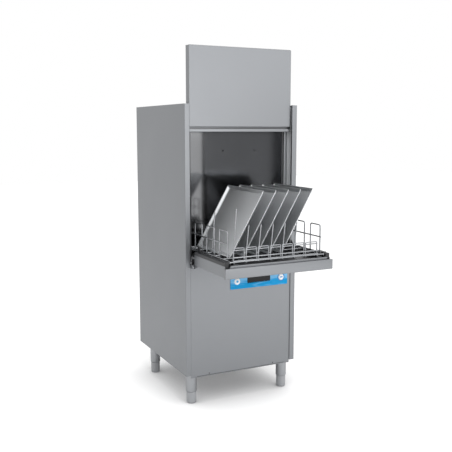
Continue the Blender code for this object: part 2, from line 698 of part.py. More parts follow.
def add_tank(bright):
    """Tank with a flat rim, straight walls and a floor that falls to a square sump."""
    rim_top = TANK_RIM + SHEET
    rings = ((PANEL_HALF, CHAMBER_FRONT, CHAMBER_BACK + TANK_RIM_WIDTH, rim_top),
             (CHAMBER_HALF, CHAMBER_FRONT + SHEET, CHAMBER_BACK, rim_top),
             (CHAMBER_HALF, CHAMBER_FRONT + SHEET, CHAMBER_BACK, TANK_WALL_BOTTOM),
             (SUMP_SIZE / 2, CHAMBER_MIDDLE - SUMP_SIZE / 2, CHAMBER_MIDDLE + SUMP_SIZE / 2, SUMP_TOP))
    shell = bmesh.new()
    rows = []
    for half, front, back, height in rings:
        corners = ((-half, front), (half, front), (half, back), (-half, back))
        rows.append([shell.verts.new((x, y, height)) for x, y in corners])
    for upper, lower in zip(rows, rows[1:]):
        for index in range(4):
            following = (index + 1) % 4
            shell.faces.new((upper[index], upper[following], lower[following], lower[index]))
    shell.faces.new(rows[-1])
    tank = make_object("wash_tank", shell, bright)
    if tank.data.polygons[-1].normal.z < 0:
        tank.data.flip_normals()
    skin = tank.modifiers.new("sheet", 'SOLIDIFY')
    skin.thickness = SHEET
    skin.offset = -1.0
    skin.use_even_offset = True
    add_strainer(bright)


def add_strainer(bright):
    low = (-CHAMBER_HALF + GAP, CHAMBER_FRONT + SHEET + GAP, STRAINER_TOP - SHEET)
    high = (CHAMBER_HALF - GAP, CHAMBER_BACK - GAP, STRAINER_TOP)
    strainer = make_object("tank_strainer", block(low, high), bright)
    holes = [cylinder(HUB_RADIUS + GAP, (0, CHAMBER_MIDDLE, low[2] - SHEET),
                      (0, CHAMBER_MIDDLE, high[2] + SHEET), TURN_STEPS)]
    for side in (-1, 1):
        for index in range(STRAINER_SLOTS):
            middle = side * (index + 1) * STRAINER_SLOT_PITCH
            slot = ((middle - STRAINER_SLOT_WIDTH / 2, low[1] + STRAINER_BORDER, low[2] - SHEET),
                    (middle + STRAINER_SLOT_WIDTH / 2, high[1] - STRAINER_BORDER, high[2] + SHEET))
            holes.append(block(*slot))
    combine(strainer, make_object("strainer_slots", merge(holes), None), 'DIFFERENCE')


def add_wash_system(materials):
    add_hub("lower_arm_hub", LOWER_ARM_BOTTOM, 1, SUMP_TOP + GAP, materials["cast"])
    add_hub("upper_arm_hub", UPPER_ARM_TOP, -1, CHAMBER_TOP + SHEET + SPIGOT_LENGTH, materials["cast"])
    add_arm("lower_wash_arm", LOWER_ARM_BOTTOM, 1, materials["steel"])
    add_arm("upper_wash_arm", UPPER_ARM_TOP, -1, materials["steel"])
    add_pump(materials["cast"])
    add_riser(materials["pipe"])
    add_boiler(materials["steel"])


def add_hub(name, arm_face, away, far_end, material):
    """Bearing post: a shoulder under the arm, a neck through it and a cap beyond it."""
    beyond = arm_face + away * (ARM_HEIGHT + GAP)
    shoulder = arm_face - away * GAP
    profile = ((0.0, far_end), (HUB_RADIUS, far_end), (HUB_RADIUS, shoulder), (HUB_NECK, shoulder),
               (HUB_NECK, beyond), (HUB_RADIUS, beyond), (HUB_NECK, beyond + away * HUB_CAP),
               (0.0, beyond + away * HUB_CAP))
    solid = turn(profile)
    place = Vector((0.0, CHAMBER_MIDDLE, 0.0))
    solid.transform(Matrix.Translation(place))
    shade_round(make_object(name, solid, material, place))


def add_arm(name, face, away, material):
    """Hollow-looking flat wash arm with round ends, a bore for its hub and nozzles on one side."""
    low, high = sorted((face, face + away * ARM_HEIGHT))
    place = Vector((0.0, CHAMBER_MIDDLE, face))
    outline = rounded_rectangle((-ARM_RADIUS, -ARM_HALF_WIDTH), (ARM_RADIUS, ARM_HALF_WIDTH),
                                ARM_HALF_WIDTH - GAP, 5)
    solid = extrude(outline, "Z", low, high)
    bmesh.ops.translate(solid, verts=solid.verts[:], vec=(0.0, CHAMBER_MIDDLE, 0.0))
    arm = make_object(name, solid, material, place)
    nozzles = []
    sink = face + away * ARM_HEIGHT / 2
    tip = face + away * (ARM_HEIGHT + NOZZLE_HEIGHT)
    for side in (-1, 1):
        for index in range(NOZZLE_COUNT):
            reach = side * (NOZZLE_START + index * NOZZLE_PITCH)
            nozzles.append(cylinder(NOZZLE_RADIUS, (reach, CHAMBER_MIDDLE, sink),
                                    (reach, CHAMBER_MIDDLE, tip), NOZZLE_STEPS))
    combine(arm, make_object(f"{name}_nozzles", merge(nozzles), None), 'UNION')
    bore = cylinder(HUB_NECK + GAP, (0, CHAMBER_MIDDLE, low - SHEET),
                    (0, CHAMBER_MIDDLE, high + SHEET), TURN_STEPS)
    combine(arm, make_object(f"{name}_bore", bore, None), 'DIFFERENCE')


def add_pump(cast):
    """Upright wash pump under the sump: suction neck, volute with a tangent outlet, finned motor."""
    suction_top = SUMP_TOP - SHEET - GAP
    volute_top = PUMP_OUTLET_Z + VOLUTE_HALF_HEIGHT
    volute_bottom = PUMP_OUTLET_Z - VOLUTE_HALF_HEIGHT
    motor_bottom = FLOOR_TOP + MOTOR_FLOOR_GAP
    groove = MOTOR_RADIUS - BEND_RADIUS
    profile = [(0.0, suction_top), (PIPE_RADIUS, suction_top), (PIPE_RADIUS, volute_top),
               (VOLUTE_RADIUS, volute_top), (VOLUTE_RADIUS, volute_bottom), (groove, volute_bottom)]
    fin = (volute_bottom - motor_bottom) / (2 * MOTOR_FINS + 1)
    for index in range(MOTOR_FINS):
        top = volute_bottom - (2 * index + 1) * fin
        profile += [(groove, top), (MOTOR_RADIUS, top), (MOTOR_RADIUS, top - fin), (groove, top - fin)]
    profile += [(groove, motor_bottom), (0.0, motor_bottom)]
    solid = turn(profile)
    place = Vector((0.0, CHAMBER_MIDDLE, 0.0))
    solid.transform(Matrix.Translation(place))
    pump = make_object("wash_pump", solid, cast, place)
    shade_round(pump)
    outlet = cylinder(PIPE_RADIUS, (PIPE_X, CHAMBER_MIDDLE, PUMP_OUTLET_Z),
                      (PIPE_X, CHAMBER_MIDDLE + PUMP_OUTLET_REACH, PUMP_OUTLET_Z))
    combine(pump, make_object("pump_outlet", outlet, None), 'UNION')


def add_riser(grey):
    """Pipe from the pump outlet, up behind the chamber and over its roof to the upper hub."""
    start_y = CHAMBER_MIDDLE + PUMP_OUTLET_REACH + GAP
    spigot_top = CHAMBER_TOP + SHEET + SPIGOT_LENGTH + GAP
    route = ((PIPE_X, start_y, PUMP_OUTLET_Z), (PIPE_X, PIPE_Y, PUMP_OUTLET_Z),
             (PIPE_X, PIPE_Y, PIPE_TOP), (PIPE_X, CHAMBER_MIDDLE, PIPE_TOP),
             (0.0, CHAMBER_MIDDLE, PIPE_TOP), (0.0, CHAMBER_MIDDLE, spigot_top))
    made = make_object("riser_pipe", wire_mesh([round_corners(route, PIPE_BEND, 4)], PIPE_RADIUS), grey)
    shade_round(made)


def add_boiler(steel):
    """Rinse boiler: an upright shell with a domed shoulder and an open neck."""
    bottom = FLOOR_TOP + GAP
    top = BOILER_TOP
    shoulder = top - BOILER_RADIUS / 2
    inside = BOILER_RADIUS - BOILER_WALL
    throat = BOILER_NECK - BOILER_WALL
    profile = ((0.0, bottom), (BOILER_RADIUS, bottom), (BOILER_RADIUS, shoulder),
               (BOILER_NECK, top - BOILER_NECK / 2), (BOILER_NECK, top), (throat, top),
               (throat, top - BOILER_NECK / 2 - BOILER_WALL), (inside, shoulder - BOILER_WALL),
               (inside, bottom + BOILER_WALL), (0.0, bottom + BOILER_WALL))
    solid = turn(profile)
    place = Vector((BOILER_X, BOILER_Y, 0.0))
    solid.transform(Matrix.Translation(place))
    shade_round(make_object("rinse_boiler", solid, steel, place))


def add_upper_door(materials):
    steel = materials["steel"]
    liner_front = DOOR_BACK - SHEET
    open_box((-DOOR_HALF, DOOR_FRONT, DOOR_FACE_BOTTOM), (DOOR_HALF, liner_front - GAP, DOOR_TOP),
             (0, 1, 0), SHEET, "upper_door_skin", steel, bevel=BEND_RADIUS / 2)
    make_object("upper_door_liner", block((-DOOR_HALF, liner_front, GRIP_BOTTOM),
                                          (DOOR_HALF, DOOR_BACK, DOOR_TOP)), materials["chamber"])
    nose = GRIP_HEIGHT / 2 - GAP
    grip = rounded_rectangle((DOOR_FRONT, GRIP_BOTTOM), (liner_front - GAP, GRIP_TOP), nose, 4)
    made = make_object("upper_door_grip", extrude(grip, "X", -DOOR_HALF, DOOR_HALF), steel)
    shade_round(made)
    for side in (-1, 1):
        add_guide(side, materials["chamber"], materials["black"])


def add_guide(side, bright, black):
    """Channel in the post and the shoe on the door's edge that runs in it."""
    name = side_name(side)
    mouth = POST_INNER + SHEET
    path = ((mouth, GUIDE_FRONT), (INNER_HALF, GUIDE_FRONT), (INNER_HALF, GUIDE_BACK),
            (mouth, GUIDE_BACK))
    outline = flip_sides(sheet_outline(path, GUIDE_WALL), side)
    guide = extrude(outline, "Z", GUIDE_BOTTOM, CABINET_TOP - GUIDE_TOP_DROP)
    make_object(f"{name}_door_guide", guide, bright)
    low = GRIP_BOTTOM + SHOE_DROP
    first = (DOOR_HALF + GAP, GUIDE_FRONT + GUIDE_WALL + GAP)
    last = (INNER_HALF - GUIDE_WALL - GAP, GUIDE_BACK - GUIDE_WALL - GAP)
    shoe = flip_sides(rounded_rectangle(first, last, BEND_RADIUS), side)
    make_object(f"{name}_door_shoe", extrude(shoe, "Z", low, low + SHOE_LENGTH), black)


def add_lower_leaf(materials):
    steel = materials["steel"]
    pivot = (0.0, HINGE_Y, HINGE_Z)
    skin = open_box((-LEAF_HALF_WIDTH, LEAF_FRONT, LEAF_BOTTOM), (LEAF_HALF_WIDTH, -LEAF_BACK, LEAF_TOP),
                    (0, 0, 1), SHEET, "leaf_skin", steel, pivot, bevel=BEND_RADIUS / 2)
    ears = []
    for side in (-1, 1):
        outer = side * (LEAF_HALF_WIDTH - SHEET)
        inner = outer - side * EAR_WIDTH
        ears.append(extrude(ear_outline(), "X", *sorted((inner, outer))))
    combine(skin, make_object("hinge_ears", merge(ears), None), 'UNION')
    bore = cylinder(HINGE_PIN_RADIUS + GAP, (-HALF_WIDTH, HINGE_Y, HINGE_Z),
                    (HALF_WIDTH, HINGE_Y, HINGE_Z))
    combine(skin, make_object("hinge_bore", bore, None), 'DIFFERENCE')
    add_leaf_liner(materials["chamber"], pivot)
    add_handle(steel, pivot)
    for side in (-1, 1):
        add_leaf_rail(side, materials["black"], pivot)
        add_hinge_bracket(side, materials["black"])
        add_seal(side, materials["rubber"])


def ear_outline():
    """Ear that hangs from the leaf's underside round the hinge line, as (y, z) points."""
    top = LEAF_BOTTOM + SHEET / 2
    lower = [(HINGE_Y + HINGE_EYE_RADIUS * math.cos(angle), HINGE_Z - HINGE_EYE_RADIUS * math.sin(angle))
             for angle in np.linspace(0.0, 2 * math.pi / 3, 9)]
    return [(HINGE_Y + HINGE_EYE_RADIUS, top)] + lower + [(-LEAF_BACK - EAR_REACH, top)]


def add_leaf_liner(bright, pivot):
    """Inner sheet of the leaf with two raised runners that carry the rack."""
    half = LEAF_HALF_WIDTH - RAIL_WIDTH - GAP
    runner = RACK_HALF - COMB_MARGIN
    low = LINER_BOTTOM
    top = LINER_BOTTOM + LINER_THICKNESS
    inner = runner - RUNNER_WIDTH / 2
    outer = runner + RUNNER_WIDTH / 2
    right = [(half, low), (half, top), (outer, top), (outer, RUNNER_TOP), (inner, RUNNER_TOP), (inner, top)]
    left = [(-x, z) for x, z in right[::-1]]
    liner = extrude(right + left, "Y", LEAF_FRONT + RAIL_INSET, -LEAF_BACK - RAIL_INSET)
    make_object("leaf_liner", liner, bright, pivot)


def add_handle(steel, pivot):
    """Full-width handle bar with a ledge on it that runs between the two side rails."""
    front = -LEAF_REACH
    back = front + HANDLE_DEPTH
    half = POST_INNER - HANDLE_GAP
    bar = block((-half, front, LEAF_BOTTOM - HANDLE_DROP), (half, back, LEAF_TOP))
    handle = make_object("leaf_handle", bar, steel, pivot)
    edge = handle.modifiers.new("edges", 'BEVEL')
    edge.width = BEND_RADIUS
    edge.segments = 2
    edge.limit_method = 'ANGLE'
    shade_round(handle)
    reach = LEAF_HALF_WIDTH - RAIL_WIDTH - GAP
    ledge = block((-reach, front + HANDLE_STEP, LEAF_TOP - 2 * BEND_RADIUS),
                  (reach, back - SHEET, LEAF_TOP + HANDLE_LEDGE))
    combine(handle, make_object("handle_ledge", ledge, None, pivot), 'UNION')


def add_leaf_rail(side, black, pivot):
    """Side rail that keeps the rack on the leaf, with a raised front block and a rear wedge."""
    name = f"leaf_{side_name(side)}_rail"
    front = LEAF_FRONT + RAIL_INSET
    back = -LEAF_BACK - RAIL_INSET
    top = LINER_BOTTOM + RAIL_HEIGHT
    raised = top + RAIL_BLOCK_RISE
    profile = ((front, LINER_BOTTOM), (back, LINER_BOTTOM), (back, top), (front + RAIL_BLOCK, top),
               (front + RAIL_BLOCK, raised), (front, raised))
    outer = side * LEAF_HALF_WIDTH
    inner = side * (LEAF_HALF_WIDTH - RAIL_WIDTH)
    rail = make_object(name, extrude(profile, "X", *sorted((inner, outer))), black, pivot)
    wedge = ((back - WEDGE_LENGTH, top - WELD_SINK), (back, top - WELD_SINK), (back, top + WEDGE_HEIGHT),
             (back - WEDGE_TOP, top + WEDGE_HEIGHT))
    thin = side * (LEAF_HALF_WIDTH - RAIL_WIDTH + WEDGE_WIDTH)
    stop = extrude(wedge, "X", *sorted((inner, thin)))
    combine(rail, make_object(f"{name}_wedge", stop, None), 'UNION')


def add_hinge_bracket(side, black):
    """Plate on the post's hem that carries the hinge pin of the leaf."""
    name = f"{side_name(side)}_hinge_bracket"
    outer = side * (POST_INNER - GAP)
    inner = outer - side * HINGE_PLATE
    nose = [(HINGE_Y + HINGE_EYE_RADIUS * math.cos(angle), HINGE_Z + HINGE_EYE_RADIUS * math.sin(angle))
            for angle in np.linspace(math.pi / 2, 3 * math.pi / 2, 9)]
    heel = PANEL_FRONT - GAP
    plate = nose + [(heel, HINGE_Z - HINGE_EYE_RADIUS), (heel, HINGE_Z + HINGE_EYE_RADIUS)]
    bracket = make_object(name, extrude(plate, "X", *sorted((inner, outer))), black)
    tip = side * (LEAF_HALF_WIDTH - SHEET - EAR_WIDTH - GAP)
    sunk = outer - side * HINGE_PLATE / 2
    pin = cylinder(HINGE_PIN_RADIUS, (sunk, HINGE_Y, HINGE_Z), (tip, HINGE_Y, HINGE_Z))
    combine(bracket, make_object(f"{name}_pin", pin, None), 'UNION')


def add_seal(side, rubber):
    outer = side * (POST_INNER - GAP)
    low, high = sorted((outer, outer - side * SEAL_WIDTH))
    strip = block((low, GAP, SEAL_BOTTOM), (high, POST_HEM, SEAL_TOP))
    make_object(f"{side_name(side)}_door_seal", strip, rubber)


def comb_places():
    return (np.arange(COMB_COUNT) - (COMB_COUNT - 1) / 2) * COMB_PITCH - COMB_SHIFT


def add_rack(materials):
    """Wire rack: a floor grid, a comb at each end and a fence at each side."""
    wire = materials["wire"]
    pivot = (0.0, RACK_FRONT, LONG_WIRE_Z)
    edge = RACK_HALF - WIRE_RADIUS
    ends = (RACK_FRONT, RACK_BACK)
    long_places = [-edge, *comb_places(), edge]
    long_wires = [((x, ends[0], LONG_WIRE_Z), (x, ends[1], LONG_WIRE_Z)) for x in long_places]
    cross_places = np.linspace(RACK_FRONT + WIRE_RADIUS, RACK_BACK - WIRE_RADIUS, CROSS_WIRE_COUNT)
    cross_wires = [((-RACK_HALF, y, CROSS_WIRE_Z), (RACK_HALF, y, CROSS_WIRE_Z)) for y in cross_places]
    grid = make_object("rack_base_grid", wire_mesh(long_wires, WIRE_RADIUS), wire, pivot)
    combine(grid, make_object("cross_wires", wire_mesh(cross_wires, WIRE_RADIUS), None, pivot), 'UNION')
    foot = comb_places()[0]
    place = RACK_FRONT + SIDE_POST_INSET
    post = [((foot, place, LONG_WIRE_Z), (foot + COMB_LEAN, place, LONG_WIRE_Z + SIDE_POST_HEIGHT))]
    combine(grid, make_object("side_post", wire_mesh(post, THIN_WIRE_RADIUS), None, pivot), 'UNION')
    add_front_comb(wire, cross_places[0], pivot)
    add_rear_comb(wire, (cross_places[-2] + cross_places[-1]) / 2, pivot)
    for side in (-1, 1):
        add_fence(side, wire, pivot)


def add_front_comb(wire, place, pivot):
    """Two level wires, dividers that lean to the right, and low hoops from place to place."""
    behind = place + 2 * THIN_WIRE_RADIUS - WELD_SINK / 2
    places = comb_places()
    levels = (UPRIGHT_BASE, UPRIGHT_BASE + COMB_RAIL_STEP)
    start = places[0] - 2 * WIRE_RADIUS
    reach = places[-1] + 2 * WIRE_RADIUS
    comb = make_object("rack_front_comb",
                       wire_mesh([((start, place, z), (reach, place, z)) for z in levels], WIRE_RADIUS),
                       wire, pivot)
    foot = UPRIGHT_BASE - WIRE_RADIUS / 2
    heights = [COMB_POST] + [COMB_HIGH] * (COMB_COUNT - 3)
    uprights = [((x - COMB_OFFSET, behind, foot),
                 (x - COMB_OFFSET + COMB_LEAN, behind, UPRIGHT_BASE + height + THIN_WIRE_RADIUS))
                for x, height in zip(places, heights)]
    top = UPRIGHT_BASE + COMB_LOW
    low_bar = top - COMB_BAR_STEP
    hoop_y = behind - COMB_LAYER
    bar_y = behind + COMB_LAYER
    hoops = []
    bars = []
    for upright, after in zip(uprights, places[1:]):
        right = after - COMB_LOOP_GAP
        start = leaning_x(upright, top) - COMB_LAYER
        hoop = ((start, hoop_y, top), (right, hoop_y, top), (right, hoop_y, foot))
        hoops.append(round_corners(hoop, COMB_BEND))
        start = leaning_x(upright, low_bar) - COMB_LAYER
        bars.append(((start, bar_y, low_bar), (right + COMB_LAYER, bar_y, low_bar)))
    left, right = places[-2:]
    hoop = ((left, hoop_y, foot), (left, hoop_y, top), (right, hoop_y, top), (right, hoop_y, foot))
    hoops.append(round_corners(hoop, COMB_BEND))
    bars.append(((left - COMB_LAYER, bar_y, low_bar), (right + COMB_LAYER, bar_y, low_bar)))
    for name, paths in (("uprights", uprights), ("hoops", hoops), ("bars", bars)):
        helper = make_object(f"front_{name}", wire_mesh(paths, THIN_WIRE_RADIUS), None, pivot)
        combine(comb, helper, 'UNION')


def leaning_x(upright, height):
    """Where a leaning upright stands at a height."""
    (foot_x, _, foot_z), (top_x, _, top_z) = upright
    return foot_x + (top_x - foot_x) * (height - foot_z) / (top_z - foot_z)


def tray_bottom(index):
    """Lower edge of a tray's rim as (x, z): it stands on the rear comb's level wire."""
    return TRAY_FIRST_X + index * TRAY_PITCH, TRAY_WIRE_Z + WIRE_RADIUS + GAP + TRAY_SHEET


def add_rear_comb(wire, place, pivot):
    """Dividers that the trays lean on, one under each tray, on the level wire that carries them."""
    top = TRAY_WIRE_Z + REAR_COMB_HIGH
    uprights = []
    for index in range(TRAY_COUNT):
        foot_x, foot_z = tray_bottom(index)
        depth = (TRAY_DEPTH + TRAY_SHEET) / math.cos(TRAY_LEAN)
        under = foot_x + (top - foot_z) * math.tan(TRAY_LEAN) + depth
        x = under + THIN_WIRE_RADIUS / math.cos(TRAY_LEAN) + THIN_WIRE_RADIUS + GAP
        uprights.append(((x, place, TRAY_WIRE_Z - WIRE_RADIUS / 2), (x, place, top)))
    reach = RACK_HALF - FENCE_BEND
    rail = [((-reach, place + WELD_SINK, TRAY_WIRE_Z), (reach, place + WELD_SINK, TRAY_WIRE_Z))]
    comb = make_object("rack_rear_comb", wire_mesh(rail, WIRE_RADIUS), wire, pivot)
    dividers = wire_mesh(uprights, THIN_WIRE_RADIUS)
    combine(comb, make_object("rear_uprights", dividers, None, pivot), 'UNION')


def add_fence(side, wire, pivot):
    """Side fence: a foot wire, a middle rail and a row of tall loops."""
    x = side * (RACK_HALF - WIRE_RADIUS)
    inside = x - side * (2 * WIRE_RADIUS - WELD_SINK)
    start = RACK_FRONT + FENCE_LOOP_START
    end = start + (FENCE_LOOPS - 1) * FENCE_LOOP_PITCH + FENCE_LOOP_WIDTH
    rails = [((x, start - WIRE_RADIUS, z), (x, end + WIRE_RADIUS, z))
             for z in (UPRIGHT_BASE, UPRIGHT_BASE + FENCE_RAIL_HEIGHT)]
    loops = []
    top = UPRIGHT_BASE + FENCE_HEIGHT
    bottom = UPRIGHT_BASE - WIRE_RADIUS / 2
    for index in range(FENCE_LOOPS):
        first = start + index * FENCE_LOOP_PITCH
        last = first + FENCE_LOOP_WIDTH
        corners = ((inside, first, bottom), (inside, first, top), (inside, last, top),
                   (inside, last, bottom))
        loops.append(round_corners(corners, FENCE_BEND))
    name = f"rack_{side_name(side)}_fence"
    fence = make_object(name, wire_mesh(rails, WIRE_RADIUS), wire, pivot)
    combine(fence, make_object(f"{name}_loops", wire_mesh(loops, WIRE_RADIUS), None, pivot), 'UNION')


def add_trays(materials):
    for index in range(TRAY_COUNT):
        add_tray(index, materials["tray"])


def add_tray(index, material):
    """Shallow pan with a flat rim and sloped walls, leaning on the rack's dividers."""
    outline = rounded_rectangle((0.0, 0.0), (TRAY_LENGTH, TRAY_SLOPE_LENGTH), TRAY_CORNER)
    shell = bmesh.new()
    face = shell.faces.new([shell.verts.new((u, v, 0.0)) for u, v in outline])
    for width in (TRAY_RIM, TRAY_WALL_RUN):
        bmesh.ops.inset_region(shell, faces=[face], thickness=width, use_boundary=True,
                               use_even_offset=True)
    bmesh.ops.translate(shell, verts=face.verts[:], vec=(0.0, 0.0, -TRAY_DEPTH))
    foot_x, foot_z = tray_bottom(index)
    along = Vector((0.0, 1.0, 0.0))
    up_slope = Vector((math.sin(TRAY_LEAN), 0.0, math.cos(TRAY_LEAN)))
    facing = along.cross(up_slope)
    if facing.x > 0:
        facing = -facing
    placing = Matrix((along, up_slope, facing)).transposed().to_4x4()
    placing.translation = Vector((foot_x, TRAY_FRONT, foot_z))
    shell.transform(placing)
    tray = make_object(f"tray_{index + 1}", shell, material, placing.translation.copy())
    if tray.data.polygons[0].normal.dot(facing) < 0:
        tray.data.flip_normals()
    skin = tray.modifiers.new("sheet", 'SOLIDIFY')
    skin.thickness = TRAY_SHEET
    skin.offset = -1.0
    skin.use_even_offset = True


def main():
    materials = make_materials()
    add_cabinet(materials)
    add_front_panel(materials)
    add_chamber(materials)
    add_wash_system(materials)
    add_upper_door(materials)
    add_lower_leaf(materials)
    add_rack(materials)
    add_trays(materials)


clear_scene()
DATUM = bpy.data.objects.new("post_front_datum", None)
DATUM.location = (0.0, FRONT_Y, 0.0)
bpy.context.scene.collection.objects.link(DATUM)
main()
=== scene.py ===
"""Gives the front-loading tray washer its smooth forms, finishes, studio and camera.

Metres, +Z up, the machine's front faces -Y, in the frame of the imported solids.
"""
import math

import bmesh
import bpy
import numpy as np
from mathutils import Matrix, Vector


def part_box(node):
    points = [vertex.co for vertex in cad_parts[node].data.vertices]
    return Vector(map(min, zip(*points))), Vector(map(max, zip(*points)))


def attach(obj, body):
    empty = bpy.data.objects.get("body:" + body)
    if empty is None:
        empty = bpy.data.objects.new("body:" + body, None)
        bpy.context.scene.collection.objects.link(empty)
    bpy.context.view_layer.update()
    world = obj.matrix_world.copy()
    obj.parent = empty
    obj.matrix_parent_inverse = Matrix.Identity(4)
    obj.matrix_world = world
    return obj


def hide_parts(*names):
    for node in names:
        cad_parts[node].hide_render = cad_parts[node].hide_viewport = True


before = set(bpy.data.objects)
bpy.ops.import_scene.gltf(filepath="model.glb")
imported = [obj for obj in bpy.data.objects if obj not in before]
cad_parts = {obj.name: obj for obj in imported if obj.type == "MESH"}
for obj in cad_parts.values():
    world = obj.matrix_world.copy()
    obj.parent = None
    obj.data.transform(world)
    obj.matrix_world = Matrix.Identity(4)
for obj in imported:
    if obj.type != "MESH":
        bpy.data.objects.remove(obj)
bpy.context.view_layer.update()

bl_info = {
    "name": "Tray washer finish",
    "version": (1, 0, 0),
    "blender": (4, 5, 0),
    "location": "3D View > Sidebar > Washer",
    "description": "Smooth forms, finishes and studio for a front-loading tray washer",
    "category": "Object",
}

MM = 0.001
X_AXIS, Y_AXIS, Z_AXIS = np.eye(3)
SIDES = ("left", "right")
SIGN = {"left": -1.0, "right": 1.0}
ROUND = np.linspace(0.0, math.pi / 2, 5)
SHARP_DEG = 35.0
WIRE_SHARP_DEG = 60.0
DOME_DEG = (80.0, 50.0, 25.0, 0.0)
WELD_DISTANCE = 0.00002
FLAT_DEG = 0.5

# Fits and edges
TIGHT_BEND = 0.0005
GAP = 0.0003
HAIR = 0.0002
EASE = 0.0004
WIDE_EASE = 0.0015

# Upper door
DOOR_HEM = 1.8
DOOR_LAND = 1.4
GROOVE = 0.0080
CLIP_PATH = ((-0.0060, 0.0075), (-0.0060, 0.0010), (-0.0125, -0.0030), (-0.0065, -0.0065),
             (-0.0065, -0.0115))
CLIP_BEND = 0.0018
CLIP_RADIUS = 0.0015
CLIP_PROUD = 0.0008

# Trim of the opening
SEAL_TAIL = 0.0022
SEAL_TAPER = (0.044, 0.052)
GUIDE_WALL = 0.0019
GUIDE_RADII = (0.0005, 0.0012, 0.0012, 0.0005, 0.0005, 0.0003, 0.0003, 0.0005)
JAMB_GAP = 0.0016
JAMB_FOOT = 1.0455
JAMB_INSET = 0.0006
SILL_LIP = 0.0235
SILL_WIDE = 0.0065
SILL_GAP = 0.0040
SILL_SHORT = 0.003
SPLASH_REACH = 0.0116
SPLASH_FRONT = -0.0615
SPLASH_LAYER = 0.0018
SPLASH_FOOT = 0.002

# Leaf
HANDLE_EASE = 0.6
LEDGE_FRONT = 0.005
LEDGE_BACK = 0.0015
LEDGE_LIP = 0.006
LEDGE_NOSE = 0.0040
LEDGE_SINK = 0.003
LEDGE_RADII = (0.0004, 0.0008, 0.0016, 0.0012, 0.0012, 0.0004)
FLANGE = 0.0080
FLANGE_LAP = 0.001
CATCH_TOP = 0.0285
CATCH_RISE = 0.009
CATCH_BACK = -0.395
CATCH_FRONT = -0.472
CATCH_RAMPS = (0.012, 0.006)
CATCH_RADII = (0.0015, 0.006, 0.005, 0.0015)
CATCH_EASE = 0.0012

# Legs and front panel
LEG_WALL = 0.004
PLATE = 0.003
PLATE_WELD = 0.002
PLATE_EASE = 0.0008
FOOT_CHAMFER = 0.004
FOOT_EASE = 0.0012
FOOT_BAND = 0.02
FOOT_NECK = 0.003
FOOT_EDGE = 0.001
HEM = 0.0045
HEM_PROUD = 0.0012
HEM_RADII = (1.6 * HEM_PROUD, GAP, GAP, 0.8 * HEM_PROUD)
HEM_SHORT = 0.001
# Black strip over the hem: a painted shadow line under the panel's face
SHADOW_LINE = 0.0016
SHADOW_LINE_SHORT = 0.03
FIXING = 0.0030
FIXING_X = 0.177
FIXING_RISE = 0.0125
FIXING_CROWN = 0.0008
FIXING_PROUD = 0.0009

# Controls
LENS_LAP = 0.0045
LENS_CORNER = 0.0015
LENS_EASE = 0.0006
LENS_LAND = 0.002
CAP_EASE = 0.0010
CAP_DISH = ((0.002, 0.0005), (0.006, 0.0004))
CAP_SKIRT = 0.0025
CAP_STEM = 0.005
CAP_BORE = 0.003
RING_PROUD = 0.0004
START_RING = 0.0158
PROGRAM_RING = 0.0150
PROGRAM_SURROUND = 0.0205
START_MARK = (0.0064, 0.0062)
PROGRAM_MARK = (0.0082, 0.0028)
MARK_PROFILE = ((0.0006, 0.0009), (0.0, 0.0008), (0.0, 0.0002), (0.0006, 0.0))
MARK_FLAT = 0.0001

# Rack
COMB_COUNT = 8
COMB_FIRST = -0.2201
COMB_PITCH = 0.0606
COMB_HIGH = 0.152
COMB_RAILS = (0.0005, 0.0155)
COMB_SINK = 0.00075
COMB_SHIFT = 0.002
CROSS_WIRES = 6
WELD_SINK = 0.0015
SIDE_POST = 0.222
LOOP_TOP = 0.8155
LOOP_STEP = 0.009
LOOP_BEND = 0.006
FENCE_RAIL = 0.071
FENCE_LOOP = 0.079
FENCE_LOOPS = 3
FENCE_BEND = 0.010

# Trays
TRAY_COUNT = 5
TRAY_LEAN = math.radians(30.0)
TRAY_SIZE = (0.354, 0.335)
TRAY_DEPTH = 0.0120
TRAY_SHEET = 0.001
TRAY_RIM = 0.004
TRAY_RUN = 0.0135
TRAY_LIFT = 0.001
TRAY_BACK = 0.0127
DIVIDER_GAP = 0.0015

# Studio
FLOOR_REACH = 14.0
FLOOR_LINES = 9
# Painted floor shadow: ambient occlusion within SHADE_REACH darkens the paper towards SHADE_TONE
SHADE_REACH = 0.27
SHADE_SAMPLES = 12
SHADE_CLEAR = 0.88
SHADE_LEAST = 0.08
SHADE_TONE = (0.28, 0.28, 0.29, 1.0)
FLOOR_LIFT = 0.36
MIRRORED_LIFT = 0.6
WHITE = (1.0, 1.0, 1.0, 1.0)
FILL_STRENGTH = 0.88
LAMPS = (
    # name, place, aim, size, watts
    ("key_softbox", (1.7, -3.3, 2.45), (0.0, -0.1, 1.3), (3.4, 2.4), 28.0),
    ("low_softbox", (1.2, -2.3, 0.20), (0.1, -0.1, 0.20), (1.8, 0.3), 2.0),
    ("front_softbox", (0.4, -3.3, 1.25), (-0.1, -0.1, 1.1), (1.4, 0.8), 9.0),
    ("left_softbox", (-2.6, -1.7, 2.5), (0.0, -0.2, 0.9), (1.2, 1.2), 6.0),
    ("overhead_softbox", (0.0, -0.6, 3.8), (0.0, -0.1, 0.8), (2.4, 2.4), 22.0),
)
CAMERA_PLACE = (-1.5636, -3.1007, 1.3189)
CAMERA_TURN_DEG = (82.149, 0.0, -26.503)
CAMERA_LENS_MM = 55.85
CAMERA_SENSOR_MM = 36.0


# Meshes

def quads(rows, columns, closed=True):
    """Corner numbers of a grid's quads; closed joins the last column to the first, as rings."""
    index = np.arange(rows * columns).reshape(rows, columns)
    if closed:
        index = np.hstack([index, index[:, :1]])
    corners = (index[:-1, :-1], index[:-1, 1:], index[1:, 1:], index[1:, :-1])
    return np.stack(corners, axis=-1).reshape(-1, 4)


def shell(grid):
    """Closed form of a stack of rings: quads between them and one flat face at each end."""
    rows, columns = grid.shape[:2]
    ring = np.arange(columns)[None]
    faces = [quads(rows, columns), ring[:, ::-1], ring + (rows - 1) * columns]
    return grid.reshape(-1, 3), faces


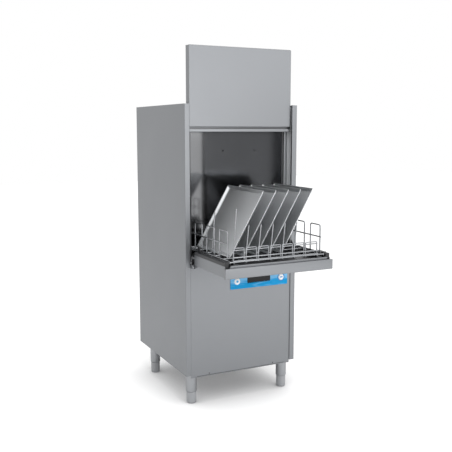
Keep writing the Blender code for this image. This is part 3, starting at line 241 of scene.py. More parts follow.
def ring_shell(grid):
    """Closed form of rings that come back to the first one, such as a hollow collar."""
    rows, columns = grid.shape[:2]
    return grid.reshape(-1, 3), [quads(rows + 1, columns) % (rows * columns)]


def piece(name, shells, slot, body="cabinet", stands_for=None, finish=None, sharp=SHARP_DEG):
    """One object out of closed shells: arrays go straight into the mesh, normals turn outward."""
    starts = np.cumsum([0] + [len(points) for points, faces in shells])
    points = np.concatenate([points for points, faces in shells])
    blocks = [block + start for start, (_, faces) in zip(starts, shells) for block in faces]
    corners = np.concatenate([block.ravel() for block in blocks])
    counts = np.concatenate([np.full(len(block), block.shape[1]) for block in blocks])
    mesh = bpy.data.meshes.new(name)
    mesh.vertices.add(len(points))
    mesh.vertices.foreach_set("co", points.ravel())
    mesh.loops.add(len(corners))
    mesh.loops.foreach_set("vertex_index", corners)
    mesh.polygons.add(len(counts))
    mesh.polygons.foreach_set("loop_start", np.cumsum(counts) - counts)
    mesh.polygons.foreach_set("loop_total", counts)
    mesh.update(calc_edges=True)
    if mesh.validate():
        raise RuntimeError(f"{name}: the mesh was not valid")
    work = bmesh.new()
    work.from_mesh(mesh)
    bmesh.ops.recalc_face_normals(work, faces=work.faces[:])
    work.to_mesh(mesh)
    work.free()
    mesh.shade_smooth()
    mesh.set_sharp_from_angle(angle=math.radians(sharp))
    mesh.materials.append(bpy.data.materials[finish or SLOT_FINISH[slot]])
    made = bpy.data.objects.new(name, mesh)
    bpy.context.scene.collection.objects.link(made)
    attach(made, body)
    if stands_for:
        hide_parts(stands_for)


def extent(node):
    """A node's lowest and highest corner at rest, as two rows."""
    return np.array(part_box(node))


def reach_of(node):
    """A side node's least and greatest distance from the middle plane."""
    return np.sort(np.abs(extent(node)[:, 0]))


def along_x(u, v, w):
    """A section in y and z, drawn along x."""
    return w, u, v


def to_front(u, v, w):
    """A flat form in x and z, raised along y."""
    return u, w, v


def upright(side):
    """A section in x and y on one side of the middle, drawn along z."""
    return lambda u, v, w: (SIGN[side] * u, v, w)


def lengthwise(side):
    """A section in x and z on one side of the middle, drawn along y."""
    return lambda u, v, w: (SIGN[side] * u, w, v)


def unit(vectors):
    return vectors / np.linalg.norm(vectors, axis=-1, keepdims=True)


def bent_path(corners, radius, steps=6):
    """Path with its inner corners rounded.

    Each arc point is the corner's circle centre plus the radii to the arc's start and end,
    blended by the sines of the angle left and the angle gone.
    """
    corners = np.asarray(corners, float)
    inner = corners[1:-1]
    back = unit(corners[:-2] - inner)
    ahead = unit(corners[2:] - inner)
    half = np.arccos(np.clip(np.sum(back * ahead, axis=1), -1.0, 1.0)) / 2
    radius = np.broadcast_to(radius, half.shape)
    centre = inner + unit(back + ahead) * (radius / np.sin(half))[:, None]
    start = inner + back * (radius / np.tan(half))[:, None] - centre
    end = inner + ahead * (radius / np.tan(half))[:, None] - centre
    sweep = (math.pi - 2 * half)[:, None]
    share = np.linspace(0.0, 1.0, steps + 1)[None]
    left = (np.sin((1 - share) * sweep) / np.sin(sweep))[..., None]
    gone = (np.sin(share * sweep) / np.sin(sweep))[..., None]
    arcs = centre[:, None] + left * start[:, None] + gone * end[:, None]
    return np.concatenate([corners[:1], arcs.reshape(-1, corners.shape[1]), corners[-1:]])


def rounded_section(points, radius, steps):
    """Closed outline with every corner rounded: the arcs of the path that runs once round it."""
    points = np.asarray(points, float)
    path = np.concatenate([points[-1:], points, points[:1]])
    return bent_path(path, radius, steps)[1:-1]


def wire(path, radius, normal, sides=12):
    """Round wire along a flat path, with domed ends.

    Point = path + r (cos a * across + sin a * normal), where across is the normal crossed with
    the path's direction. At each end r shrinks by a cosine while the path gains the sine.
    """
    path = np.asarray(path, float)
    steps = unit(np.diff(path, axis=0))
    ahead = unit(np.vstack([steps[:1], steps[:-1] + steps[1:], steps[-1:]]))
    rise = np.radians(DOME_DEG)
    dome = radius * (1.0 - np.sin(rise))[:, None]
    centres = np.vstack([path[0] + dome * ahead[0], path[1:-1],
                         path[-1] - dome[::-1] * ahead[-1]])
    inner = np.ones(len(path) - 2)
    radii = radius * np.concatenate([np.cos(rise), inner, np.cos(rise[::-1])])
    heading = np.vstack([np.tile(ahead[0], (len(rise), 1)), ahead[1:-1],
                         np.tile(ahead[-1], (len(rise), 1))])
    across = np.cross(normal, heading)
    angle = (np.arange(sides) * 2 * math.pi / sides)[None, :, None]
    turn = np.cos(angle) * across[:, None] + np.sin(angle) * normal
    return shell(centres[:, None] + radii[:, None, None] * turn)


def turned(profile, centre, axis, sides=48):
    """Turned form: point = centre + height * axis + radius * spoke, for each (radius, height)."""
    radius, height = np.asarray(profile, float).T[..., None, None]
    first = unit(np.cross(axis, X_AXIS))
    second = np.cross(axis, first)
    angle = np.arange(sides) * 2 * math.pi / sides
    spokes = np.cos(angle)[:, None] * first + np.sin(angle)[:, None] * second
    return centre + height * axis + radius * spokes


def eased(radius, height, run, rise=None):
    """Quarter round of a turned profile, from a flat face at a height out to a radius.

    Each point is (radius - run * (1 - sin a), height + rise * (1 - cos a)).
    """
    rise = rise or run
    return np.stack([radius - run * (1 - np.sin(ROUND)), height + rise * (1 - np.cos(ROUND))],
                    axis=-1)


def quarter(start, end, steps=5):
    """Quarter round from one (inset, height) to another: inset by 1 - cos, height by sin."""
    angle = np.linspace(0.0, math.pi / 2, steps + 1)
    shares = np.stack([1.0 - np.cos(angle), np.sin(angle)], axis=-1)
    return start + np.subtract(end, start) * shares


def pressed(low, high, corner, profile, place, steps=8):
    """Pressed sheet: a rounded rectangle carried through a profile of insets and heights.

    The corner radius at t is corner - inset(t), but never under the tightest bend. Point(s, t) =
    corner centre(t) + radius(t) * direction(s), lifted by height(t); place turns the flat
    (u, v, w) into the frame's x, y, z.
    """
    turn = np.linspace(0.0, math.pi / 2, steps + 1)
    angle = (np.arange(4)[:, None] * math.pi / 2 + turn).ravel()
    direction = np.stack([np.cos(angle), np.sin(angle)], axis=-1)
    upper = np.repeat(np.array(((1, 1), (0, 1), (0, 0), (1, 0))), steps + 1, axis=0)
    edges = np.where(upper, high, low)
    inward = 1.0 - 2.0 * upper
    inset, height = np.asarray(profile, float).T
    radius = np.maximum(corner - inset, TIGHT_BEND)
    flat = edges + inward * (inset + radius)[:, None, None] + radius[:, None, None] * direction
    lift = np.broadcast_to(height[:, None], flat.shape[:2])
    return np.stack(place(flat[..., 0], flat[..., 1], lift), axis=-1)


def drawn_bar(points, radii, along, ease, place, rounds=5, steps=4):
    """Bar of one section drawn along a span, its ends eased by a quarter round.

    The section is an outline with its corners rounded by their radii in turn. At an end it moves
    in along its own normals by ease * (1 - sin), while the place along the bar moves by
    ease * (1 - cos). place turns (section u, section v, along) into x, y, z.
    """
    section = rounded_section(points, radii, rounds)
    tangent = unit(np.roll(section, -1, axis=0) - np.roll(section, 1, axis=0))
    normals = np.stack([tangent[:, 1], -tangent[:, 0]], axis=-1)
    turning = np.sum(section * np.roll(section[:, ::-1], -1, axis=0) * (1.0, -1.0))
    normals = normals * (1.0 if turning > 0 else -1.0)
    angle = np.linspace(0.0, math.pi / 2, steps + 1)
    inset = ease * (1.0 - np.sin(angle))
    step = ease * (1.0 - np.cos(angle))
    shrink = np.concatenate([inset, inset[::-1]])
    rows = np.concatenate([along[0] + step, (along[1] - step)[::-1]])
    flat = section - shrink[:, None, None] * normals
    reach = np.broadcast_to(rows[:, None], flat.shape[:2])
    return shell(np.stack(place(flat[..., 0], flat[..., 1], reach), axis=-1))


def strip(across, up, radii, along, ease, place, rounds=5):
    """Drawn bar with a rectangle for its section, given by its spans across and up."""
    (near, far), (foot, top) = across, up
    points = ((near, foot), (far, foot), (far, top), (near, top))
    return drawn_bar(points, radii, along, ease, place, rounds)


# Finishes

def linear(code):
    """Linear colour of an sRGB hex code: each channel through the sRGB curve, undone."""
    srgb = np.array([int(code[start:start + 2], 16) for start in (1, 3, 5)]) / 255.0
    low = srgb / 12.92
    high = ((srgb + 0.055) / 1.055) ** 2.4
    return tuple(np.where(srgb <= 0.04045, low, high).tolist())


def feed(tree, node, sockets):
    """Gives each named socket its value, or the output or node (its first output) to follow."""
    for socket, source in sockets.items():
        if isinstance(source, bpy.types.Node):
            source = next(output for output in source.outputs if output.enabled)
        if isinstance(source, bpy.types.NodeSocket):
            tree.links.new(source, node.inputs[socket])
        else:
            node.inputs[socket].default_value = source


def add_node(tree, kind, sockets=None, **settings):
    """Adds a node with its settings and feeds its sockets."""
    node = tree.nodes.new(kind)
    for key, value in settings.items():
        setattr(node, key, value)
    feed(tree, node, sockets or {})
    return node


def start_finish(name, colour, metallic, roughness, specular):
    """A Principled material with its constants on its sockets; returns tree, shader, place."""
    made = bpy.data.materials.new(name)
    made.use_nodes = True
    tree = made.node_tree
    shader = tree.nodes["Principled BSDF"]
    feed(tree, shader, {"Base Color": (*colour, 1.0), "Metallic": metallic,
                        "Roughness": roughness, "Specular IOR Level": specular})
    return tree, shader, add_node(tree, "ShaderNodeTexCoord").outputs["Object"]


def grained(name, colour, metallic, roughness, grain_mm, cloud_mm, tone, blur, bump_mm, strength,
            specular=0.5):
    """Surface with a fine grain and, on metal, slow clouds of tone and gloss.

    grain_mm is the grain's size along x, y and z; cloud_mm the size of the clouds, or 0 where a
    moulded pore carries tone and gloss as well; tone and blur are the swings of colour and
    roughness; bump_mm and strength give the grain its relief.
    """
    tree, shader, place = start_finish(name, colour, metallic, roughness, specular)
    drawn = add_node(tree, "ShaderNodeMapping", {
        "Vector": place, "Scale": tuple(1.0 / (size * MM) for size in grain_mm)})
    grain = cloud = add_node(tree, "ShaderNodeTexNoise", {
        "Vector": drawn, "Scale": 1.0, "Detail": 3.0 if cloud_mm else 2.0, "Roughness": 0.6})
    if cloud_mm:
        cloud = add_node(tree, "ShaderNodeTexNoise", {
            "Vector": place, "Scale": 1.0 / (cloud_mm * MM), "Detail": 2.0, "Roughness": 0.5})
    both = add_node(tree, "ShaderNodeMath", {0: grain, 1: cloud}, operation='ADD')
    gloss = add_node(tree, "ShaderNodeMapRange", {
        "Value": both, "From Min": 0.5, "From Max": 1.5,
        "To Min": roughness - blur, "To Max": roughness + blur})
    dark, light = ((*(channel * share for channel in colour), 1.0)
                   for share in (1.0 - tone, 1.0 + tone))
    shade = add_node(tree, "ShaderNodeMix", {"Factor": cloud, "A": dark, "B": light},
                     data_type='RGBA')
    relief = add_node(tree, "ShaderNodeBump", {
        "Height": grain, "Strength": strength, "Distance": bump_mm * MM})
    feed(tree, shader, {"Base Color": shade, "Roughness": gloss, "Normal": relief})


FILM_NOISE_MM = ((95.0, 13.0), (60.0, 9.0))
FILM_WAVE = 0.055
FILM_TOOTH_MM = 0.6
FILM_RISE = (0.30, 0.62)


def printed_film(name, light, deep, low, high):
    """Back-printed polyester film: pale blue above runs into strong blue below in soft waves.

    The boundary is a height up the film, pushed up and down by a noise that is drawn out along x;
    a second such noise lays paler sweeps over both.
    """
    tree, shader, place = start_finish(name, deep, 0.0, 0.45, 0.12)
    noises = []
    for along, up in FILM_NOISE_MM:
        drawn = add_node(tree, "ShaderNodeMapping", {
            "Vector": place, "Scale": (1.0 / (along * MM), 1.0, 1.0 / (up * MM))})
        noises.append(add_node(tree, "ShaderNodeTexNoise", {
            "Vector": drawn, "Scale": 1.0, "Detail": 0.0}))
    wave, sweep = noises
    height = add_node(tree, "ShaderNodeSeparateXYZ", {"Vector": place}).outputs["Z"]
    centred = add_node(tree, "ShaderNodeMath", {0: wave, 1: 0.5}, operation='SUBTRACT')
    lifted = add_node(tree, "ShaderNodeMath", {0: centred, 1: FILM_WAVE, 2: height},
                      operation='MULTIPLY_ADD')
    level = add_node(tree, "ShaderNodeMapRange", {
        "Value": lifted, "From Min": low, "From Max": high}, interpolation_type='SMOOTHSTEP')
    pale = add_node(tree, "ShaderNodeMapRange", {
        "Value": sweep, "From Min": 0.52, "From Max": 0.72, "To Max": 0.45},
        interpolation_type='SMOOTHSTEP')
    ink = (*deep, 1.0)
    for share in (level, pale):
        ink = add_node(tree, "ShaderNodeMix", {"Factor": share, "A": ink, "B": (*light, 1.0)},
                       data_type='RGBA')
    tooth = add_node(tree, "ShaderNodeTexNoise", {
        "Vector": place, "Scale": 1.0 / (FILM_TOOTH_MM * MM), "Detail": 2.0})
    relief = add_node(tree, "ShaderNodeBump", {
        "Height": tooth, "Strength": 0.06, "Distance": 0.02 * MM})
    feed(tree, shader, {"Base Color": ink, "Normal": relief})


def colour_setting(name, code, description):
    return bpy.props.FloatVectorProperty(name=name, description=description, default=linear(code),
                                         size=3, min=0.0, max=1.0, subtype='COLOR')


def length_setting(name, default, description):
    return bpy.props.FloatProperty(name=name, description=description, default=default, min=0.0,
                                   soft_max=1.0, precision=4, subtype='DISTANCE', unit='LENGTH')


class WasherColours(bpy.types.PropertyGroup):
    """Colours of the finishes."""
    panel: colour_setting("Panel steel", "#86888B", "Outer sheets of the cabinet, door and leaf")
    chamber: colour_setting("Chamber steel", "#8E8F91", "Sheets inside the wash chamber")
    # Darker than the panel steel: painted shade on the leaf's inside and in the grip's groove
    liner: colour_setting("Liner steel", "#5C5D5F", "Inside of the leaf, groove of the grip")
    tray: colour_setting("Tray steel", "#D2D4D6", "Floors of the trays")
    # Paler than the tray steel: a painted highlight along the trays' walls and rims
    rim: colour_setting("Rim steel", "#F2F4F6", "Walls and rims of the trays")
    blasted: colour_setting("Blasted steel", "#A8AAAD", "Jambs, splash edges, hinge brackets")
    wire: colour_setting("Wire steel", "#9A9C9F", "Wires of the rack")
    tube: colour_setting("Tube steel", "#A0A2A5", "Tubes of the legs")
    handle: colour_setting("Handle aluminium", "#888A8D", "Handle of the leaf, grip of the door")
    casting: colour_setting("Cast aluminium", "#8E9093", "Pump and arm hubs")
    black: colour_setting("Black plastic", "#1E1F22", "Rails, shoes, clip and plugs")
    rubber: colour_setting("Black rubber", "#1D1E20", "Seals, gaskets, lip and seam")
    grey: colour_setting("Grey plastic", "#A1A3A6", "Feet and riser pipe")
    pale: colour_setting("Pale plastic", "#CDCFD1", "Channels that guide the upper door")
    film_light: colour_setting("Film, upper", "#7CBEEA", "Pale blue of the control film")
    film_deep: colour_setting("Film, lower", "#169AD8", "Strong blue of the control film")
    lens: colour_setting("Display lens", "#141517", "Smoked window over the display")
    key: colour_setting("Key white", "#F6F8FA", "Caps of the two buttons and their rings")
    print_light: colour_setting("Print, pale", "#4AA6DC", "Mark on the start button")
    print_deep: colour_setting("Print, strong", "#1E7FC0", "Mark and ring of the program button")
    floor: colour_setting("Floor", "#F4F4F4", "Studio floor")


class WasherSizes(bpy.types.PropertyGroup):
    """Sizes of the smooth forms that a user would change."""
    wire_radius: length_setting("Wire radius", 0.0030, "Radius of the rack's main wires")
    thin_wire_radius: length_setting("Thin wire radius", 0.0025, "Radius of the comb's dividers")
    comb_lean: length_setting("Comb lean", 0.0155, "How far a front divider's top leans right")
    sheet_bend: length_setting("Sheet bend", 0.0030, "Outer radius of folded sheet edges")
    door_corner: length_setting("Door corner", 0.0060, "Corner radius of the upper door's face")
    tray_corner: length_setting("Tray corner", 0.0060, "Corner radius of a tray's rim")
    handle_edge: length_setting("Handle edge", 0.0030, "Edge radius of the leaf's handle")
    leg_radius: length_setting("Leg radius", 0.0265, "Outer radius of a leg tube")
    foot_radius: length_setting("Foot radius", 0.0237, "Outer radius of a foot")


FINISHES = (
    # name, colour, metallic, roughness, grain mm along x, y, z, cloud mm, tone, blur, relief mm,
    # strength and, if not plain, specular. Grain finer than about a millimetre is drawn about
    # that size, so that it shows at all.
    # Cold-rolled stainless sheet, finely ground along its length: an even satin grey whose
    # reflections are soft and faintly streaked.
    ("ground_stainless_sheet", "panel", 1.0, 0.40, (60.0, 60.0, 0.6), 180.0, 0.02, 0.04, 0.03,
     0.06),
    # Drawn stainless tube, turned on a fine belt: paler, with faint rings.
    ("belt_ground_stainless_tube", "tube", 1.0, 0.42, (30.0, 30.0, 1.0), 60.0, 0.02, 0.04, 0.03,
     0.08),
    # Bright-annealed stainless inside the chamber: it mirrors the opening clearly.
    ("bright_annealed_stainless_sheet", "chamber", 1.0, 0.10, (40.0, 40.0, 1.2), 140.0, 0.05,
     0.03, 0.02, 0.02),
    # The same sheet as a leaf liner, darkened as painted shade: it mirrors the rack in a darker
    # tone.
    ("stained_stainless_liner", "liner", 1.0, 0.34, (40.0, 1.2, 40.0), 90.0, 0.10, 0.05, 0.02,
     0.03),
    # Deep-drawn stainless, satin finished: a pale, wide sheen with no clear mirror image.
    ("drawn_satin_stainless", "tray", 1.0, 0.62, (40.0, 40.0, 1.0), 70.0, 0.03, 0.05, 0.02, 0.04),
    # The same sheet polished to a satin over wall and rim; its paler colour paints the bright, soft
    # lines.
    ("polished_rolled_rim", "rim", 1.0, 0.42, (20.0, 20.0, 1.0), 60.0, 0.03, 0.05, 0.02, 0.04),
    # Folded stainless round the opening, bead blasted: an even, dull mid grey.
    ("bead_blasted_stainless", "blasted", 1.0, 0.52, (1.0,) * 3, 80.0, 0.03, 0.05, 0.03, 0.06),
    # Drawn stainless wire, electropolished after welding: thin bright lines with soft ends.
    ("electropolished_wire", "wire", 1.0, 0.24, (1.5,) * 3, 40.0, 0.05, 0.06, 0.03, 0.10),
    # Extruded aluminium, satin anodised: an even pale grey with a faint draw line lengthwise.
    ("satin_anodised_aluminium", "handle", 1.0, 0.40, (90.0, 0.7, 0.7), 200.0, 0.02, 0.04, 0.03,
     0.10),
    # Sand-cast aluminium: dull and pitted.
    ("sand_cast_aluminium", "casting", 1.0, 0.55, (1.2,) * 3, 30.0, 0.08, 0.08, 0.25, 0.35),
    # Polypropylene, moulded black: a soft sheen over a fine spark-eroded pore.
    ("black_moulded_polypropylene", "black", 0.0, 0.42, (0.9,) * 3, 0, 0.12, 0.06, 0.05, 0.20),
    # Polyamide, moulded grey: matt and even.
    ("grey_moulded_polyamide", "grey", 0.0, 0.48, (1.0,) * 3, 0, 0.05, 0.06, 0.04, 0.15),
    # Polyethylene, moulded pale grey: waxy, with a very soft sheen.
    ("pale_moulded_polyethylene", "pale", 0.0, 0.55, (1.2,) * 3, 0, 0.03, 0.06, 0.03, 0.10),
    # EPDM, extruded black: nearly no gloss.
    ("black_extruded_rubber", "rubber", 0.0, 0.68, (0.8,) * 3, 0, 0.10, 0.06, 0.05, 0.20),
    # Acrylic, cast and smoked: near black, mirror gloss, a slow unevenness in place of pores.
    ("smoked_acrylic_lens", "lens", 0.0, 0.14, (4.0,) * 3, 0, 0.06, 0.06, 0.01, 0.03, 0.2),
    # ABS, moulded white: bright with a soft gloss.
    ("white_moulded_abs", "key", 0.0, 0.34, (0.8,) * 3, 0, 0.02, 0.06, 0.02, 0.08),
    # Ink, pad printed on the keys and round one of them: flat pale blue and flat strong blue.
    ("pale_blue_pad_print", "print_light", 0.0, 0.36, (0.8,) * 3, 0, 0.03, 0.06, 0.02, 0.08),
    ("blue_pad_print", "print_deep", 0.0, 0.36, (0.8,) * 3, 0, 0.03, 0.06, 0.02, 0.08),
)

SLOT_FINISH = {
    "panel_steel": "ground_stainless_sheet",
    "chamber_steel": "bright_annealed_stainless_sheet",
    "tray_steel": "drawn_satin_stainless",
    "wire_steel": "electropolished_wire",
    "door_aluminium": "satin_anodised_aluminium",
    "cast_aluminium": "sand_cast_aluminium",
    # Only the hinge brackets have this slot, and they are plain blasted steel.
    "black_metal": "bead_blasted_stainless",
    "black_plastic": "black_moulded_polypropylene",
    "grey_plastic": "grey_moulded_polyamide",
    "black_rubber": "black_extruded_rubber",
    "blue_film": "back_printed_blue_film",
    "display": "smoked_acrylic_lens",
    "white_plastic": "white_moulded_abs",
}

# The leaf's liner takes the darkened liner steel, as painted shade
NODE_FINISH = {"leaf_liner": "stained_stainless_liner"}

EDGE_WIDTH = {
    "panel_steel": 0.0006,
    "black_plastic": 0.0012,
    "black_metal": 0.0008,
    "black_rubber": 0.0010,
    "cast_aluminium": 0.0010,
}


def edge_softener():
    """Node group that shades bends smooth and keeps sharper edges as they are."""
    group = bpy.data.node_groups.new("smooth_bends", 'GeometryNodeTree')
    for way in ('INPUT', 'OUTPUT'):
        group.interface.new_socket("Geometry", in_out=way, socket_type='NodeSocketGeometry')
    start = add_node(group, "NodeGroupInput")
    angle = add_node(group, "GeometryNodeInputMeshEdgeAngle")
    gentle = add_node(group, "FunctionNodeCompare", {
        "A": angle.outputs["Unsigned Angle"], "B": math.radians(SHARP_DEG)},
        data_type='FLOAT', operation='LESS_THAN')
    faces = add_node(group, "GeometryNodeSetShadeSmooth",
                     {"Geometry": start, "Shade Smooth": True}, domain='FACE')
    edges = add_node(group, "GeometryNodeSetShadeSmooth",
                     {"Geometry": faces, "Shade Smooth": gentle}, domain='EDGE')
    add_node(group, "NodeGroupOutput", {"Geometry": edges})
    return group


class WASHER_OT_finishes(bpy.types.Operator):
    """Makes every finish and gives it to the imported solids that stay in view"""
    bl_idname = "washer.finishes"
    bl_label = "Finishes and kept solids"

    def execute(self, context):
        tones = context.scene.washer_colours
        for name, tone, *recipe in FINISHES:
            grained(name, tuple(getattr(tones, tone)), *recipe)
        # Polyester film, printed on its back: clear blues under a dull, even face.
        low, high = extent("control_fascia")[:, 2]
        printed_film("back_printed_blue_film", tuple(tones.film_light), tuple(tones.film_deep),
                     *(low + share * (high - low) for share in FILM_RISE))
        soften = edge_softener()
        for name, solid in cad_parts.items():
            self.dress(name, solid, soften)
        return {'FINISHED'}

    def dress(self, name, solid, soften):
        """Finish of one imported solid, and modifiers that ease its edges and level its faces."""
        slot = solid.data.materials[0].name
        finish = NODE_FINISH.get(name, SLOT_FINISH[slot])
        solid.material_slots[0].material = bpy.data.materials[finish]
        weld = solid.modifiers.new("weld", 'WELD')
        weld.merge_threshold = WELD_DISTANCE
        if slot in EDGE_WIDTH:
            flat = solid.modifiers.new("flat faces", 'DECIMATE')
            flat.decimate_type = 'DISSOLVE'
            flat.angle_limit = math.radians(FLAT_DEG)
            edge = solid.modifiers.new("eased edges", 'BEVEL')
            edge.width = EDGE_WIDTH[slot]
            edge.segments = 2
            edge.limit_method = 'ANGLE'
            edge.angle_limit = math.radians(SHARP_DEG)
        smooth = solid.modifiers.new("smooth bends", 'NODES')
        smooth.node_group = soften
        level = solid.modifiers.new("level faces", 'WEIGHTED_NORMAL')
        level.keep_sharp = True


class WASHER_OT_upper_door(bpy.types.Operator):
    """Folded skin, grip bar, groove and clip of the raised upper door"""
    bl_idname = "washer.upper_door"
    bl_label = "Upper door"

    def execute(self, context):
        sizes = context.scene.washer_sizes
        bend = sizes.sheet_bend
        low, high = extent("upper_door_skin")
        hem, face = DOOR_HEM * bend, low[2]
        profile = np.vstack([[(hem, high[1]), (0.0, high[1]), (0.0, low[1] + 3 * bend)],
                             quarter((0.0, low[1] + bend), (bend, low[1])),
                             [(DOOR_LAND * bend, low[1]), (hem, low[1])]])
        skin = pressed(low[::2], high[::2], sizes.door_corner, profile, to_front)
        piece("door_skin", [shell(skin)], "panel_steel", "upper_door", "upper_door_skin")
        low, high = extent("upper_door_grip")
        bar = strip((low[1], high[1]), (low[2], high[2]), (bend, bend / 2, bend / 2, bend),
                    (low[0], high[0]), bend / 2, along_x)
        piece("door_grip", [bar], "door_aluminium", "upper_door", "upper_door_grip")
        # A strip of the darkened liner steel in the groove over the grip: painted shade in the
        # recess
        bar = strip((low[1] + GROOVE, high[1]), (high[2] - bend / 2, face + bend / 2), bend / 6,
                    (low[0] + bend / 2, high[0] - bend / 2), bend / 6, along_x)
        piece("grip_groove", [bar], "panel_steel", "upper_door", finish="stained_stainless_liner")
        self.clip(high[::2], low[1] - CLIP_PROUD)
        return {'FINISHED'}

    def clip(self, corner, front):
        """Bent black spring clip at the right end of the grip: a wire through places in x, z."""
        path = np.insert(corner + CLIP_PATH, 1, front, axis=1)
        bent = wire(bent_path(path, CLIP_BEND, 4), CLIP_RADIUS, Y_AXIS)
        piece("grip_clip", [bent], "black_plastic", "upper_door", sharp=WIRE_SHARP_DEG)


class WASHER_OT_opening_trim(bpy.types.Operator):
    """Seals beside the posts, door guides, jambs, sill lip and black strips of painted shade round
    the opening
    """
    bl_idname = "washer.opening_trim"
    bl_label = "Trim of the opening"

    def execute(self, context):
        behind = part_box("upper_door_liner")[1][1]
        for side in SIDES:
            self.seal(side)
        self.guides_and_jambs(behind + JAMB_GAP)
        self.sill(behind + SILL_GAP)
        self.splash_edges(behind + JAMB_GAP)
        return {'FINISHED'}

    def seal(self, side):
        """Rubber strip beside a post: a wide upper part that tapers to a thin tail."""
        node = f"{side}_door_seal"
        (_, front, foot), (_, back, top) = extent(node)
        inner, outer = reach_of(node)
        thin = outer - SEAL_TAIL
        start, end = (foot + rise for rise in SEAL_TAPER)
        points = ((outer, foot), (outer, top), (inner, top), (inner, end), (thin, start),
                  (thin, foot))
        radii = (TIGHT_BEND, TIGHT_BEND, *[WIDE_EASE] * 3, TIGHT_BEND)
        bar = drawn_bar(points, radii, (front, back), EASE, lengthwise(side))
        piece(f"{side}_seal_strip", [bar], "black_rubber", stands_for=node)

    def guides_and_jambs(self, front):
        """Channel for the door's shoes and flat strip on the chamber's flange, at each side.

        The strip stands behind the door's path and above the closed leaf.
        """
        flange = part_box("chamber_right_wall")[0]
        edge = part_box("right_door_guide")[0][0] - HAIR
        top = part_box("chamber_roof")[0][2]
        for side in SIDES:
            self.guide(side)
            bar = strip((flange[0] + JAMB_INSET, edge), (front, flange[1] - GAP),
                        (WIDE_EASE, EASE, HAIR, HAIR), (JAMB_FOOT, top), EASE, upright(side))
            piece(f"{side}_jamb_strip", [bar], "panel_steel", finish="bead_blasted_stainless")

    def guide(self, side):
        """Channel that the door's shoes run in: a C section drawn upright, open to the door."""
        node = f"{side}_door_guide"
        (_, front, foot), (_, back, top) = extent(node)
        mouth, outer = reach_of(node)
        inner, near, far = outer - GUIDE_WALL, front + GUIDE_WALL, back - GUIDE_WALL
        points = ((mouth, front), (outer, front), (outer, back), (mouth, back), (mouth, far),
                  (inner, far), (inner, near), (mouth, near))
        bar = drawn_bar(points, GUIDE_RADII, (foot, top), GAP, upright(side))
        piece(f"{side}_guide_channel", [bar], "white_plastic", stands_for=node,
              finish="pale_moulded_polyethylene")

    def sill(self, front):
        """Rubber lip that stands on the sill and closes the gap behind the leaf."""
        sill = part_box("lower_front_panel")[1][2]
        foot, top, back = sill + GAP, sill + SILL_LIP, front + SILL_WIDE
        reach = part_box("leaf_right_rail")[0][0] - SILL_SHORT
        points = ((front, foot), (back, foot), (back - WIDE_EASE, top), (front + WIDE_EASE, top))
        bar = drawn_bar(points, (EASE, EASE, WIDE_EASE, WIDE_EASE), (-reach, reach), EASE, along_x)
        piece("sill_lip", [bar], "black_rubber")

    def splash_edges(self, front):
        """Upright steel edge on each chamber wall with a black strip on its front: painted shade.

        Below the jamb strips it stands behind the closed leaf, above it stands level with them.
        """
        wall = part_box("chamber_right_wall")[0][0] + TIGHT_BEND
        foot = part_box("right_rack_rail")[1][2] + SPLASH_FOOT
        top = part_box("chamber_roof")[0][2] - TIGHT_BEND
        spans = ((SPLASH_FRONT, (foot, JAMB_FOOT), SPLASH_REACH),
                 (front, (JAMB_FOOT, top), SPLASH_REACH / 2))
        # The black rubber layer in front of each splash edge paints the shade at the front of the
        # chamber wall
        layers = (("edge_gasket", 0.0, "black_rubber", None),
                  ("splash_edge", SPLASH_LAYER, "panel_steel", "bead_blasted_stainless"))
        for name, step, slot, finish in layers:
            for side in SIDES:
                bars = [strip((wall - reach, wall), (near + step, near + step + SPLASH_LAYER),
                              EASE, rise, GAP, upright(side), 3) for near, rise, reach in spans]
                piece(f"{side}_{name}", bars, slot, finish=finish)


class WASHER_OT_leaf_handle(bpy.types.Operator):
    """Full-width handle of the lower leaf with its lipped ledge, the leaf's flanges and a catch"""
    bl_idname = "washer.leaf_handle"
    bl_label = "Leaf handle and flanges"

    def execute(self, context):
        edge = context.scene.washer_sizes.handle_edge
        low, high = extent("leaf_handle")
        face_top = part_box("leaf_skin")[1][2]
        bar = strip((low[1], high[1]), (low[2], face_top), (edge, edge / 2, edge / 2, edge / 2),
                    (low[0], high[0]), HANDLE_EASE * edge, along_x)
        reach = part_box("leaf_liner")[1][0]
        front, back, top = low[1] + LEDGE_FRONT, high[1] - LEDGE_BACK, high[2]
        groove, lip, foot = front + LEDGE_LIP, top - LEDGE_NOSE, face_top - LEDGE_SINK
        points = ((back, foot), (back, top), (front, top), (front, lip), (groove, lip),
                  (groove, foot))
        ledge = drawn_bar(points, LEDGE_RADII, (-reach, reach), GAP, along_x)
        piece("handle_bar", [bar, ledge], "door_aluminium", "lower_leaf", "leaf_handle")
        self.flanges()
        self.catch(face_top + CATCH_TOP)
        return {'FINISHED'}

    def flanges(self):
        """Folded edge of the leaf's sheet that laps the lower part of each black rail."""
        (_, front, _), (side_face, _, top) = extent("leaf_skin")
        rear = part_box("leaf_left_rail")[1][1]
        for side in SIDES:
            bar = strip((side_face - HAIR, side_face + TIGHT_BEND),
                        (top - FLANGE_LAP, top + FLANGE), HAIR, (front, rear), HAIR,
                        lengthwise(side), 3)
            piece(f"{side}_leaf_flange", [bar], "panel_steel", "lower_leaf")

    def catch(self, top):
        """Low hump on the right rail that keeps the rack from sliding off."""
        near, far = extent("leaf_right_rail")[:, 0]
        foot = top - CATCH_RISE
        points = ((CATCH_BACK, foot), (CATCH_BACK - CATCH_RAMPS[0], top),
                  (CATCH_FRONT + CATCH_RAMPS[1], top), (CATCH_FRONT, foot))
        span = (near + TIGHT_BEND, far - TIGHT_BEND)
        bar = drawn_bar(points, CATCH_RADII, span, CATCH_EASE, along_x)
        piece("right_rack_catch", [bar], "black_plastic", "lower_leaf")


